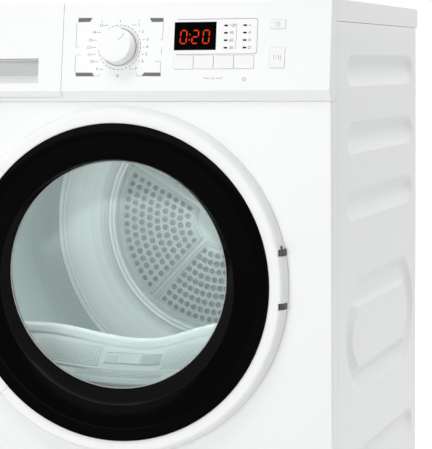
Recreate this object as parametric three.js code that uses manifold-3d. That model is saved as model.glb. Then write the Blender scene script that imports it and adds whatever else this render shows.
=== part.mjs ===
// Free-standing condenser clothes dryer, built as an assembly of separate pieces.
// Millimetres. +X right, +Y from front to back, +Z up. While the pieces are built, Y = 0 is the outer
// face of the front sheet and Z = 0 is the floor; the last lines move the origin under the middle.
import * as THREE from 'three';
import { mergeVertices } from 'three/addons/utils/BufferGeometryUtils.js';
import Module from 'manifold-3d';

const wasm = await Module();
wasm.setup();

// ---- driving dimensions -------------------------------------------------------------------------
const width = 595;
const height = 850;
const cabinetDepth = 575;
const topOverhang = 13;
const topThick = 29.3;
const sheet = 1.2;
const wall = 2.5;
const seat = 0.3;
const slide = 0.6;
const footHeight = 20;
const baseRim = 38;
const flangeWidth = 14;
const frontReturn = 30;

const fasciaHeight = 134.5;
const fasciaTopY = 5;
const fasciaBrowY = -14;
const fasciaChinY = -3;
const chamferHeight = 14;
const drawerLeftWidth = 221;
const drawerLipHeight = 6;

const doorDrop = 245;
const doorRadius = 238.4;
const doorFaceRadius = 232.5;
const doorInnerRadius = 216;
const doorDepth = 20;
const doorGap = 0.8;
const blackProud = 3;
const bevelOuter = 167;
const glassRadius = 155;
const windowY = -12;
const windowRise = 10;
const bowlDepth = 95;
const glassThick = 5;
const mouthRadius = 208;
const collarEnd = 46;
const sillFoot = [40, -175];
const sillClimb = 3;
const sillEnd = 84;
const sillCrest = -117;
const sillSag = 402;

const drumRise = 45;
const drumRadius = 285;
const drumMouth = 255;
const drumFront = 50;
const rearBay = 85;
const dishDepth = 90;
const airPlateRadius = 176;
const shaftRadius = 9;
const lifterHeight = 52;
const lifterWidth = 70;

const hingeX = 230.5;
const hingeY = -10;
const hingeClear = 9.7;
const hingeEars = [45, -26.5];
const earHeight = 8.4;
const pinRadius = 1.8;

const troughDepth = 7;
const troughDraft = 5;

const motorX = 95;
const motorZ = 118;
const motorRadius = 56;
const pulleyRadius = 9.7;
const idlerX = 29;
const idlerZ = 162;
const idlerRadius = 14;
const beltY = 207;
const beltWidth = 14;
const beltThick = 2;
const rollerRadius = 20;
const rollerAngle = 25;
const motorShaftRadius = 6.7;
const fanRadius = 62;

const knobX = 5;
const knobZ = 318;
const knobRadius = 27;
const knobDepth = 22.6;
const buttonTravel = 1.5;

const roundSides = 32;
const smallSides = 12;

// ---- places worked out from them ----------------------------------------------------------------
const half = width / 2;
const fasciaZ = height - fasciaHeight;
const topZ = height - topThick;
const doorZ = fasciaZ - doorDrop;
const drumZ = doorZ + drumRise;
const drumBackY = cabinetDepth - rearBay;
const drumSeamY = drumBackY - dishDepth;
const baseTop = footHeight + baseRim;
const floorTop = footHeight + 3;
const underFlangeZ = topZ - seat - sheet - seat;
const innerX = half - sheet - seat;
const flangeX = half - flangeWidth;
const bulkheadY = frontReturn + seat + sheet + seat;
const bulkheadRear = bulkheadY + wall;
const panY = drumBackY + 15;
const troughX = half - sheet - troughDepth - seat - 0.1;
const tilt = Math.atan2(fasciaTopY - fasciaBrowY, fasciaHeight - chamferHeight);
const browZ = fasciaZ + chamferHeight;

// ---- solids: three.js geometry in, three.js geometry out, manifold-3d only joins and cuts --------
function solidOf(geometry) {
  const bare = geometry.index ? geometry.toNonIndexed() : geometry.clone();
  for (const name of Object.keys(bare.attributes)) {
    if (name !== 'position') bare.deleteAttribute(name);
  }
  const grid = 1000;
  bare.attributes.position.array.forEach((value, i, values) => {
    values[i] = Math.round(value * grid) / grid;
  });
  const merged = mergeVertices(bare);
  const place = merged.attributes.position;
  const corner = [new THREE.Vector3(), new THREE.Vector3(), new THREE.Vector3()];
  const faces = [];
  let volume = 0;
  for (let i = 0; i < merged.index.count; i += 3) {
    const ids = [0, 1, 2].map((k) => merged.index.getX(i + k));
    if (ids[0] === ids[1] || ids[1] === ids[2] || ids[2] === ids[0]) continue;
    ids.forEach((id, k) => corner[k].fromBufferAttribute(place, id));
    volume += corner[0].dot(corner[1].clone().cross(corner[2]));
    faces.push(ids);
  }
  const triVerts = Uint32Array.from(faces.flatMap((f) => (volume > 0 ? f : [f[0], f[2], f[1]])));
  const vertProperties = Float32Array.from(place.array);
  return new wasm.Manifold(new wasm.Mesh({ numProp: 3, vertProperties, triVerts }));
}

function geometryOf(solid) {
  const mesh = solid.getMesh();
  const geometry = new THREE.BufferGeometry();
  geometry.setAttribute('position', new THREE.BufferAttribute(mesh.vertProperties, 3));
  geometry.setIndex(new THREE.BufferAttribute(mesh.triVerts, 1));
  geometry.computeVertexNormals();
  return geometry;
}

const join = (...solids) => solids.reduce((sum, next) => sum.add(next));
const cut = (solid, ...tools) => tools.reduce((rest, tool) => rest.subtract(tool), solid);

function blockGeometry([x0, x1], [y0, y1], [z0, z1]) {
  const box = new THREE.BoxGeometry(x1 - x0, y1 - y0, z1 - z0);
  return box.translate((x0 + x1) / 2, (y0 + y1) / 2, (z0 + z1) / 2);
}

const block = (x, y, z) => solidOf(blockGeometry(x, y, z));

// A round bar along one axis; the centre gives its place on the two other axes, in x, y, z order.
function rodGeometry(axis, [u, v], radius, [from, to], sides = smallSides) {
  const bar = new THREE.CylinderGeometry(radius, radius, to - from, sides);
  const middle = (from + to) / 2;
  if (axis === 'x') return bar.rotateZ(Math.PI / 2).translate(middle, u, v);
  if (axis === 'y') return bar.translate(u, middle, v);
  return bar.rotateX(Math.PI / 2).translate(u, v, middle);
}

const rod = (...args) => solidOf(rodGeometry(...args));

// Revolves [radius, y] points about a front-to-back axis through (x, z).
function turnedGeometry(profile, [x, z], sides = roundSides) {
  const points = profile.map(([r, y]) => new THREE.Vector2(r, y));
  const first = points[0];
  const last = points[points.length - 1];
  if (first.x > 0 || last.x > 0) points.push(first.clone());
  return new THREE.LatheGeometry(points, sides).translate(x, 0, z);
}

const turned = (...args) => solidOf(turnedGeometry(...args));

// A turned ring whose inner side is lifted off the axis, less and less towards its outer side.
function leaning(profile, centre, [inner, outer], rise) {
  const ring = turnedGeometry(profile, centre);
  const place = ring.attributes.position;
  for (let i = 0; i < place.count; i += 1) {
    const radius = Math.hypot(place.getX(i) - centre[0], place.getZ(i) - centre[1]);
    place.setZ(i, place.getZ(i) + rise * THREE.MathUtils.clamp((outer - radius) / (outer - inner), 0, 1));
  }
  return solidOf(ring);
}

const shapeOf = (points) => new THREE.Shape(points.map(([u, v]) => new THREE.Vector2(u, v)));

// Prisms: an X-Z outline between two Y planes, and a Y-Z outline between two X planes.
function prismAlongY(points, [y0, y1]) {
  const body = new THREE.ExtrudeGeometry(shapeOf(points), { depth: y1 - y0, bevelEnabled: false });
  return solidOf(body.rotateX(Math.PI / 2).translate(0, y1, 0));
}

function prismAlongX(points, [x0, x1]) {
  const body = new THREE.ExtrudeGeometry(shapeOf(points), { depth: x1 - x0, bevelEnabled: false });
  const turn = new THREE.Matrix4().set(0, 0, 1, x0, 1, 0, 0, 0, 0, 1, 0, 0, 0, 0, 0, 1);
  return solidOf(body.applyMatrix4(turn));
}

// A drafted pan: one Y-Z outline at x = xa joined to another with as many points at x = xb.
function drafted(outlineA, xa, outlineB, xb) {
  const count = outlineA.length;
  const cap = THREE.ShapeUtils.triangulateShape(outlineA.map(([y, z]) => new THREE.Vector2(y, z)), []);
  const vertices = [...outlineA.map(([y, z]) => [xa, y, z]), ...outlineB.map(([y, z]) => [xb, y, z])];
  const faces = [];
  for (const [a, b, c] of cap) faces.push(a, b, c, c + count, b + count, a + count);
  for (let i = 0; i < count; i += 1) {
    const j = (i + 1) % count;
    faces.push(j, i, i + count, j, i + count, j + count);
  }
  const geometry = new THREE.BufferGeometry();
  geometry.setAttribute('position', new THREE.Float32BufferAttribute(vertices.flat(), 3));
  geometry.setIndex(faces);
  return solidOf(geometry);
}

const around = (count, make) => Array.from({ length: count }, (_, i) => make((i / count) * Math.PI * 2, i));

// ---- assembly -----------------------------------------------------------------------------------
const dryer = new THREE.Group();
const fasciaFace = new THREE.Group();
fasciaFace.position.set(0, fasciaFaceY(doorZ + knobZ), doorZ + knobZ);
fasciaFace.rotation.x = -tilt;
fasciaFace.updateMatrix();
dryer.add(fasciaFace);

function fasciaFaceY(z) {
  return fasciaBrowY + ((z - browZ) / (height - browZ)) * (fasciaTopY - fasciaBrowY);
}

function add(name, solid, [color, roughness, metalness = 0], parent = dryer) {
  const material = new THREE.MeshStandardMaterial({ color, roughness, metalness });
  const mesh = new THREE.Mesh(geometryOf(solid), material);
  mesh.name = name;
  parent.add(mesh);
}

const whitePaint = [0xf4f5f6, 0.35];
const whitePlastic = [0xf2f3f4, 0.3];
const blackGloss = [0x0a0b0d, 0.08];
const greyPlastic = [0x5b5f63, 0.55];
const palePlastic = [0xb9c0c2, 0.5];
const darkRubber = [0x1d1e20, 0.8];
const steel = [0xb4b8bb, 0.3, 1];
const zinc = [0xa7acb0, 0.45, 0.8];
const glassTint = [0xa9c2bb, 0.05];

// ---- cabinet ------------------------------------------------------------------------------------
const footX = half - 45;
const footYs = [50, cabinetDepth - 50];
const stemRadius = 6;

function makeBasePlate() {
  const rimWall = 3;
  const y = [sheet + seat, cabinetDepth];
  const outer = block([-innerX, innerX], y, [footHeight, baseTop]);
  const hollow = block(
    [-innerX + rimWall, innerX - rimWall],
    [y[0] + rimWall, y[1] - rimWall],
    [floorTop, baseTop + 1],
  );
  const ribs = [100, cabinetDepth - 65].map((ribY) => (
    block([-innerX + 1, innerX - 1], [ribY, ribY + rimWall], [floorTop - 1, floorTop + 12])
  ));
  const keel = block([-rimWall, 0], [y[0] + 1, y[1] - 1], [floorTop - 1, floorTop + 12]);
  const bosses = [-footX, footX].flatMap((x) => footYs.map((footY) => (
    rod('z', [x, footY], 18, [footHeight, baseTop - 8])
  )));
  const sockets = [-footX, footX].flatMap((x) => footYs.map((footY) => (
    rod('z', [x, footY], stemRadius + seat, [footHeight - 1, footHeight + 22])
  )));
  const tray = join(cut(outer, hollow), ...ribs, keel, ...bosses, ...exchangerSleeve());
  add('base_plate', cut(tray, ...sockets), greyPlastic);
}

function makeFeet() {
  let count = 0;
  for (const x of [-footX, footX]) {
    for (const footY of footYs) {
      count += 1;
      const pad = rod('z', [x, footY], 21, [0, 7]);
      const nut = rod('z', [x, footY], 12, [6, 12], 6);
      const stem = rod('z', [x, footY], stemRadius, [6, footHeight + 20]);
      add(`foot_${count}`, join(pad, nut, stem), darkRubber);
    }
  }
}

// A long pressed trough: straight long edges, ends that bulge outwards. inset follows the draft.
function troughOutline({ ys, zs, bulge }, inset) {
  const steps = 3;
  const [y0, y1] = [ys[0] + inset, ys[1] - inset];
  const [z0, z1] = [doorZ + zs[0] + inset, doorZ + zs[1] - inset];
  const ends = Array.from({ length: steps + 1 }, (_, i) => i / steps);
  const swell = (t) => bulge * (1 - (2 * t - 1) ** 2);
  return [
    ...ends.map((t) => [y1 + swell(t), z0 + t * (z1 - z0)]),
    ...ends.map((t) => [y0 - swell(t), z1 - t * (z1 - z0)]),
  ];
}

const troughY = [frontReturn + 79, cabinetDepth - 51];
const longTrough = (z) => ({ ys: troughY, zs: [z - 22, z + 22], bulge: 20 });
const longTroughs = [284, 191.5, 99, -270.5, -363].map(longTrough);
const ringTrough = { ys: [troughY[0] + 41, troughY[1] - 44], zs: [-170, -3], bulge: 70 };
const ringIsland = { ys: [troughY[0] + 51, troughY[1] - 58], zs: [-130, -47], bulge: 40 };

function makeSidePanel(name, side) {
  const at = (depth) => side * (half - depth);
  const span = (a, b) => [Math.min(at(a), at(b)), Math.max(at(a), at(b))];
  const y = [frontReturn + seat, cabinetDepth];
  const z = [footHeight, topZ - seat];
  const inwards = [z[0] - 1, z[1] - sheet];
  const behind = [y[0] + sheet, y[1] - sheet];
  const pans = [...longTroughs, ringTrough];
  const outerPan = (trough) => drafted(
    troughOutline(trough, -sheet), at(sheet / 2), troughOutline(trough, troughDraft - sheet), at(troughDepth + sheet),
  );
  const press = (trough) => drafted(
    troughOutline(trough, -troughDraft / troughDepth), at(-1), troughOutline(trough, troughDraft), at(troughDepth),
  );
  const islandSkin = drafted(
    troughOutline(ringIsland, 0), at(0), troughOutline(ringIsland, -troughDraft), at(troughDepth + sheet / 2),
  );
  const islandBack = drafted(
    troughOutline(ringIsland, sheet), at(sheet),
    troughOutline(ringIsland, sheet - troughDraft * 1.3), at(troughDepth + sheet * 2),
  );
  const folded = cut(
    block(span(0, flangeWidth), y, z),
    block(span(sheet, flangeWidth + 1), behind, inwards),
    block(span(sheet, flangeWidth + 1), [y[0] - 1, y[1] + 1], [z[0] - 1, baseTop + seat]),
  );
  const skin = join(folded, ...pans.map(outerPan));
  const pressed = join(cut(skin, ...pans.map(press)), islandSkin);
  add(name, cut(pressed, islandBack), whitePaint);
}

const exchangerY = [bulkheadRear + seat, panY - 65];
const serviceX = [-268, -56];
const serviceZ = [baseTop + 4, 205];
const lockZ = 12;

function makeFrontPanel() {
  const top = fasciaZ - seat;
  const behind = [frontReturn - sheet - 1, frontReturn + 1];
  const pan = cut(
    block([-half, half], [0, frontReturn], [footHeight, top]),
    block([-half + sheet, half - sheet], [sheet, frontReturn - sheet], [footHeight - 1, top - sheet]),
    block([-flangeX, flangeX], behind, [footHeight - 1, top - sheet]),
    block([-half + sheet, half - sheet], behind, [footHeight - 1, baseTop + seat]),
  );
  const lip = rod('y', [0, doorZ], mouthRadius + 5.7, [sheet / 2, 7], roundSides);
  const [sx0, sx1] = serviceX;
  const [sz0, sz1] = serviceZ;
  const serviceFrame = block([sx0 - sheet, sx1 + sheet], [sheet / 2, 14], [sz0 - sheet, sz1 + sheet]);
  const earSlots = hingeEars.map((z) => block(
    [hingeX - 4.5, hingeX + 4.5], [-1, 2], [doorZ + z - earHeight / 2 - seat, doorZ + z + earHeight / 2 + seat],
  ));
  add('front_panel', cut(
    join(pan, lip, serviceFrame),
    rod('y', [0, doorZ], mouthRadius + 4.5, [-1, 9], roundSides),
    block(serviceX, [-1, 15], serviceZ),
    rod('x', [flapY, flapZ], flapPin + seat, [sx0 - 3, sx1 + 3], 16),
    ...earSlots,
    block([-229, -215], [-1, 3], [doorZ - lockZ, doorZ + lockZ]),
  ), whitePaint);
}

function makeTopPlate() {
  const rim = 20;
  const corner = 3;
  const y0 = frontReturn + seat;
  const y1 = cabinetDepth + topOverhang;
  const side = [
    [y0, topZ], [y1 - corner, topZ], [y1, topZ + corner], [y1, height - corner], [y1 - corner, height],
    [y0, height],
  ];
  const hollow = block([-half + rim, half - rim], [y0 + rim, y1 - 2 * rim], [topZ - 1, height - 12]);
  const ribs = [-1, 0, 1].map((k) => block(
    [k * 140 - 1.5, k * 140 + 1.5], [y0 + rim - 1, y1 - 2 * rim + 1], [topZ + 2, height - 11],
  ));
  add('top_plate', join(cut(prismAlongX(side, [-half, half]), hollow), ...ribs), whitePlastic);
}

const rearHoleX = half - 72.5;
const rearHoleZ = 110;

function makeRearCover() {
  const y0 = cabinetDepth + seat;
  const y1 = y0 + sheet;
  const domeY = cabinetDepth + topOverhang - 0.7;
  const domeRadius = 186;
  const slab = cut(
    block([-innerX + 6, innerX - 6], [y0, y1], [baseTop + 2, topZ - 4]),
    rod('y', [0, drumZ], domeRadius - 1.5, [y0 - 1, y1 + 1], roundSides),
  );
  const dome = turned([
    [0, domeY], [domeRadius - 20, domeY], [domeRadius, y1], [domeRadius, y0], [domeRadius - 2, y0],
    [domeRadius - 21, domeY - sheet], [0, domeY - sheet],
  ], [0, drumZ]);
  const slots = [];
  for (let row = 0; row < 5; row += 1) {
    for (const x of [-170, -10]) {
      slots.push(block([x, x + 110], [y0 - 1, y1 + 1], [130 + row * 18, 136 + row * 18]));
    }
  }
  const glandHole = rod('y', [rearHoleX, rearHoleZ], 10, [y0 - 1, y1 + 1]);
  add('rear_cover', cut(join(slab, dome), ...slots, glandHole), zinc);
  add('cord_inlet_gland', turned([
    [5, y0 - 12], [9.7, y0 - 12], [9.7, y1 + seat], [15, y1 + seat], [15, y1 + 4], [10, y1 + 9], [5, y1 + 9],
  ], [rearHoleX, rearHoleZ], 12), darkRubber);
}

// ---- door mouth, front and rear bulkheads -------------------------------------------------------
const filterHalf = 104;
const wellY = [11, bulkheadY];
const wellDepth = 248.5;
const wellFloor = doorZ - wellDepth;
const ductX = [-264, -60];
const ductZ = [60, 198];
const tankX = [-flangeX + slide + seat, -90];
const tankLowZ = 262;
const tankHighZ = 325;
const tankTopZ = 343.5;
const tankSlope = (tankHighZ - tankLowZ) / (tankX[1] - tankX[0]);

// The tank's wedge section, grown by a margin: its floor rises over the drum.
function tankSection(grow, topMargin = grow) {
  const x0 = tankX[0] - grow;
  const x1 = tankX[1] + grow;
  const floorAt = (x) => doorZ + tankLowZ + (x - tankX[0]) * tankSlope - grow * Math.hypot(1, tankSlope);
  const top = doorZ + tankTopZ + topMargin;
  return [[x0, floorAt(x0)], [x1, floorAt(x1)], [x1, top], [x0, top]];
}

const rollerPlaces = [-1, 1].map((side) => {
  const reach = drumRadius + rollerRadius + seat;
  const angle = THREE.MathUtils.degToRad(rollerAngle);
  return [side * reach * Math.sin(angle), drumZ - reach * Math.cos(angle)];
});

// The ramp at the bottom of the mouth: it climbs towards the drum, and its crest sags in the middle.
function mouthSill() {
  const [footY, footZ] = sillFoot;
  const low = doorZ - mouthRadius - 1;
  const flank = prismAlongX([
    [bulkheadY, low], [sillEnd, low], [sillEnd, doorZ + footZ + sillClimb * (sillEnd - footY)],
    [footY, doorZ + footZ], [bulkheadY, doorZ + footZ - 10],
  ], [-mouthRadius, mouthRadius]);
  const reach = join(
    rod('y', [0, doorZ], mouthRadius + 0.8, [bulkheadY - 1, collarEnd], roundSides),
    rod('y', [0, doorZ], mouthRadius - 12, [collarEnd - 1, sillEnd + 1], roundSides),
  );
  const sag = rod('y', [0, doorZ + sillCrest + sillSag], sillSag, [bulkheadY - 1, sillEnd + 1], 2 * roundSides);
  return cut(flank.intersect(reach), sag);
}

function makeFrontBulkhead() {
  const plate = block([-innerX, innerX], [bulkheadY, bulkheadRear], [baseTop + seat, underFlangeZ]);
  const collar = rod('y', [0, doorZ], mouthRadius + wall, [sheet + seat, collarEnd], roundSides);
  const wellOuter = block(
    [-filterHalf - wall, filterHalf + wall], [wellY[0] - wall, bulkheadRear], [wellFloor - wall, doorZ - 175],
  );
  const wellInner = block([-filterHalf, filterHalf], wellY, [wellFloor, doorZ]);
  const bosses = rollerPlaces.map((place) => rod('y', place, 11, [bulkheadY, drumFront + 4]));
  const axles = rollerPlaces.flatMap((place) => [
    rod('y', place, 4, [bulkheadY, drumFront + 28], 10), rod('y', place, 7, [drumFront + 25, drumFront + 29], 10),
  ]);
  const ribs = [-45, 0, 45, 135, 180, 225].map((degrees) => {
    const rib = blockGeometry([-1.5, 1.5], [bulkheadY - 8, bulkheadY + 1], [mouthRadius + 1, mouthRadius + 30]);
    return solidOf(rib.rotateY(THREE.MathUtils.degToRad(degrees)).translate(0, 0, doorZ));
  });
  const shell = join(plate, collar, wellOuter, ...bosses, ...axles, ...ribs);
  const front = cut(
    shell,
    rod('y', [0, doorZ], mouthRadius, [-1, collarEnd + 1], roundSides),
    wellInner,
    prismAlongY(tankSection(slide, 20), [bulkheadY - 1, bulkheadRear + 1]),
    block([ductX[0] + wall, ductX[1] - wall], [bulkheadY - 1, bulkheadRear + 1], [ductZ[0] + wall, ductZ[1] - wall]),
  );
  add('front_bulkhead', join(front, mouthSill()), palePlastic);
  add('door_seal', turned([
    [mouthRadius - 1, -0.5], [mouthRadius + 3.8, -0.5], [mouthRadius + 3.8, sheet], [mouthRadius + 1, sheet],
  ], [0, doorZ]), darkRubber);
  add('drum_front_seal', turned([
    [drumMouth + 2, bulkheadRear + seat], [drumMouth + 16, bulkheadRear + seat],
    [drumMouth + 16, drumFront - seat], [drumMouth + 4, drumFront - seat],
  ], [0, drumZ]), [0xd8d4c8, 0.95]);
}

function makeLintFilter() {
  const x = [-filterHalf + slide, filterHalf - slide];
  const y = [wellY[0] + slide, wellY[1] - slide];
  const body = cut(
    block(x, y, [wellFloor + slide, doorZ - 170]),
    rod('y', [0, doorZ], mouthRadius, [0, collarEnd], roundSides),
  );
  const cells = [];
  const cellCount = 10;
  const pitch = (x[1] - x[0] - 8) / cellCount;
  for (let i = 0; i < cellCount; i += 1) {
    if (i === cellCount / 2 || i === cellCount / 2 - 1) continue;
    const left = x[0] + 4 + i * pitch;
    for (const [a, b] of [[y[0] + 2, y[0] + 9], [y[0] + 11, y[1] - 2]]) {
      cells.push(block([left + 1, left + pitch - 1], [a, b], [wellFloor + 20, doorZ - 160]));
    }
  }
  const windows = [-1, 1].map((side) => {
    const edges = [side * 12, side * (filterHalf - 8)].sort((a, b) => a - b);
    return block(edges, [y[0] - 1, y[0] + 3], [wellFloor + 6, doorZ - mouthRadius - 6]);
  });
  const latch = block([-9, 9], [y[0] + 5, y[1] - 5], [doorZ - mouthRadius - 4, doorZ - mouthRadius + 3]);
  add('lint_filter', join(cut(body, ...cells, ...windows), latch), greyPlastic);
}

function makeRollers() {
  ['left', 'right'].forEach((name, i) => {
    const y = [drumFront + 6, drumFront + 24];
    add(`drum_roller_${name}`, cut(
      rod('y', rollerPlaces[i], rollerRadius, y, 24),
      rod('y', rollerPlaces[i], 4 + seat, [y[0] - 1, y[1] + 1], 16),
    ), darkRubber);
  });
  const lampX = 70;
  const lampZ = doorZ + 238;
  add('drum_lamp', join(
    block([lampX - 18, lampX + 18], [bulkheadRear + seat, bulkheadRear + 5], [lampZ - 12, lampZ + 12]),
    rod('y', [lampX, lampZ], 10, [bulkheadRear + 1, bulkheadRear + 9]),
  ), [0xe8eef0, 0.2]);
}

function makeRearBulkhead() {
  const x = [-troughX, troughX];
  const z = [baseTop + seat, topZ - 3];
  const rear = cabinetDepth - sheet - seat;
  const pan = cut(
    block(x, [panY, rear], z),
    block([x[0] + sheet, x[1] - sheet], [panY + sheet, rear + 1], [z[0] + sheet, z[1] - sheet]),
  );
  const slots = around(16, (angle) => {
    const slot = blockGeometry([-4, 4], [panY - 1, panY + 2], [70, 142]);
    return solidOf(slot.rotateY(angle).translate(0, 0, drumZ));
  });
  const bearingHole = rod('y', [0, drumZ], 22, [panY - 1, panY + 2], 20);
  const openings = [
    rod('y', [rearHoleX, rearHoleZ], 16, [panY - 1, panY + 2]),
    rod('y', [motorX, motorZ], 52, [panY - 1, panY + 2], 32),
  ];
  add('rear_bulkhead', cut(pan, ...slots, bearingHole, ...openings), zinc);

  const bearingY = panY + sheet + seat;
  add('rear_bearing', turned([
    [shaftRadius + seat, panY - 5], [21.7, panY - 5], [21.7, bearingY], [34, bearingY], [34, bearingY + 4],
    [25, bearingY + 10], [25, bearingY + 16], [shaftRadius + seat, bearingY + 16],
  ], [0, drumZ], 20), steel);

  const ductRadius = 175;
  const ductY = [bearingY, bearingY + 50];
  const duct = (inset, [y0, y1]) => join(
    rod('y', [0, drumZ], ductRadius - inset, [y0, y1], roundSides),
    block([-72 + inset, 72 - inset], [y0, y1], [baseTop + 12 + inset, drumZ]),
  );
  add('air_duct', cut(duct(0, ductY), duct(1.5, [ductY[0] - 1, ductY[1] - 1.5])), zinc);

  const heaterY = bearingY + 24;
  const coil = new THREE.TorusGeometry(112, 5, 6, 18).rotateX(Math.PI / 2).translate(0, heaterY, drumZ);
  const clips = around(4, (angle) => {
    const clip = blockGeometry([-6, 6], [bearingY, heaterY + 3], [108, 111]);
    return solidOf(clip.rotateY(angle).translate(0, 0, drumZ));
  });
  add('heater', join(solidOf(coil), ...clips), steel);
}

// ---- drum ---------------------------------------------------------------------------------------
const backSteps = [
  [drumRadius - 0.4, drumSeamY + seat], [drumRadius - 23, drumBackY - 65], [drumRadius - 44, drumBackY - 52],
  [airPlateRadius + 38, drumBackY - 32], [airPlateRadius + 26, drumBackY - 11],
  [airPlateRadius + 8, drumBackY - 11], [airPlateRadius - 8, drumBackY],
];

function makeDrum() {
  add('drum_shell', turned([
    [drumMouth, drumFront], [drumRadius - 6, drumFront], [drumRadius, drumFront + 6], [drumRadius, drumSeamY],
    [drumRadius - sheet, drumSeamY], [drumRadius - sheet, drumFront + 6.6],
    [drumRadius - 6.6, drumFront + sheet], [drumMouth, drumFront + sheet],
  ], [0, drumZ]), steel);

  const behind = backSteps.map(([r, y]) => [r, y + sheet]).reverse();
  add('drum_back', turned([...backSteps, ...behind], [0, drumZ]), steel);

  // Five fields of holes on concentric arcs, at even turns; the fields are kept apart by plain spokes.
  const plateY = [drumBackY + sheet + seat, drumBackY + 2 * sheet + seat];
  const holes = [];
  const fields = { count: 5, first: 156, span: 60 };
  const rows = [[airPlateRadius - 22, 4], [airPlateRadius - 56, 3], [airPlateRadius - 90, 2]];
  for (let field = 0; field < fields.count; field += 1) {
    for (const [radius, count] of rows) {
      for (let i = 0; i < count; i += 1) {
        const degrees = fields.first + (field * 360) / fields.count + ((i + 0.5) / count) * fields.span;
        const angle = THREE.MathUtils.degToRad(degrees);
        const place = [radius * Math.cos(angle), drumZ + radius * Math.sin(angle)];
        holes.push(rod('y', place, 5, [plateY[0] - 1, plateY[1] + 1], 6));
      }
    }
  }
  const plate = rod('y', [0, drumZ], airPlateRadius, plateY, roundSides);
  add('drum_air_plate', cut(plate, ...holes), steel);

  [0, 120, 240].forEach((degrees, i) => {
    const root = lifterWidth / 2;
    const tip = 13;
    const inner = drumRadius - lifterHeight;
    const outline = [
      [-root, drumRadius + 9], [-root, drumRadius - 6], [-tip - 5, inner + 5], [-tip + 4, inner],
      [tip - 4, inner], [tip + 5, inner + 5], [root, drumRadius - 6], [root, drumRadius + 9],
    ];
    const length = [drumFront + 22, drumSeamY - 18];
    const depth = length[1] - length[0];
    const bar = new THREE.ExtrudeGeometry(shapeOf(outline), { depth, bevelEnabled: false });
    bar.rotateX(Math.PI / 2).translate(0, length[1], 0);
    const turn = THREE.MathUtils.degToRad(90 - degrees);
    const slope = (y, way) => {
      const wedge = shapeOf([[y, inner - 2], [y + way * 46, inner - 2], [y, drumRadius - 6]]);
      const body = new THREE.ExtrudeGeometry(wedge, { depth: lifterWidth + 2, bevelEnabled: false });
      const stand = new THREE.Matrix4().set(0, 0, 1, -root - 1, 1, 0, 0, 0, 0, 1, 0, 0, 0, 0, 0, 1);
      return solidOf(body.applyMatrix4(stand).rotateY(turn).translate(0, 0, drumZ));
    };
    add(`lifter_${i + 1}`, cut(
      solidOf(bar.rotateY(turn).translate(0, 0, drumZ))
        .intersect(rod('y', [0, drumZ], drumRadius - sheet - seat, [0, cabinetDepth], roundSides)),
      slope(length[0] - 0.5, 1),
      slope(length[1] + 0.5, -1),
    ), palePlastic);
  });

  const spiderY = [plateY[1] + seat, plateY[1] + 3.5];
  const arms = around(3, (angle) => {
    const arm = blockGeometry([-14, 14], grown(spiderY, -0.2), [20, 150]);
    return solidOf(arm.rotateY(angle).translate(0, 0, drumZ));
  });
  add('drum_shaft', join(
    ...arms,
    rod('y', [0, drumZ], 34, spiderY, 24),
    rod('y', [0, drumZ], shaftRadius, [spiderY[0], panY + 26], 24),
  ), steel);
}

// ---- drive --------------------------------------------------------------------------------------
// The outline of a belt round wheels listed clockwise as seen from the front; offset grows every wheel.
function beltOutline(wheels, offset) {
  const points = [];
  const leaving = wheels.map((wheel, i) => {
    const next = wheels[(i + 1) % wheels.length];
    const along = Math.atan2(next.z - wheel.z, next.x - wheel.x);
    const gapLength = Math.hypot(next.x - wheel.x, next.z - wheel.z);
    return along + Math.acos((wheel.r - next.r) / gapLength);
  });
  wheels.forEach((wheel, i) => {
    const from = leaving[(i + wheels.length - 1) % wheels.length];
    const to = leaving[i];
    const sweep = THREE.MathUtils.euclideanModulo(from - to, Math.PI * 2);
    const steps = Math.max(3, Math.ceil(sweep / (Math.PI / 16)));
    const reach = (wheel.r + offset) / Math.cos(sweep / steps / 2);
    for (let k = 0; k <= steps; k += 1) {
      const angle = from - (sweep * k) / steps;
      points.push([wheel.x + reach * Math.cos(angle), wheel.z + reach * Math.sin(angle)]);
    }
  });
  return points;
}

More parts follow.
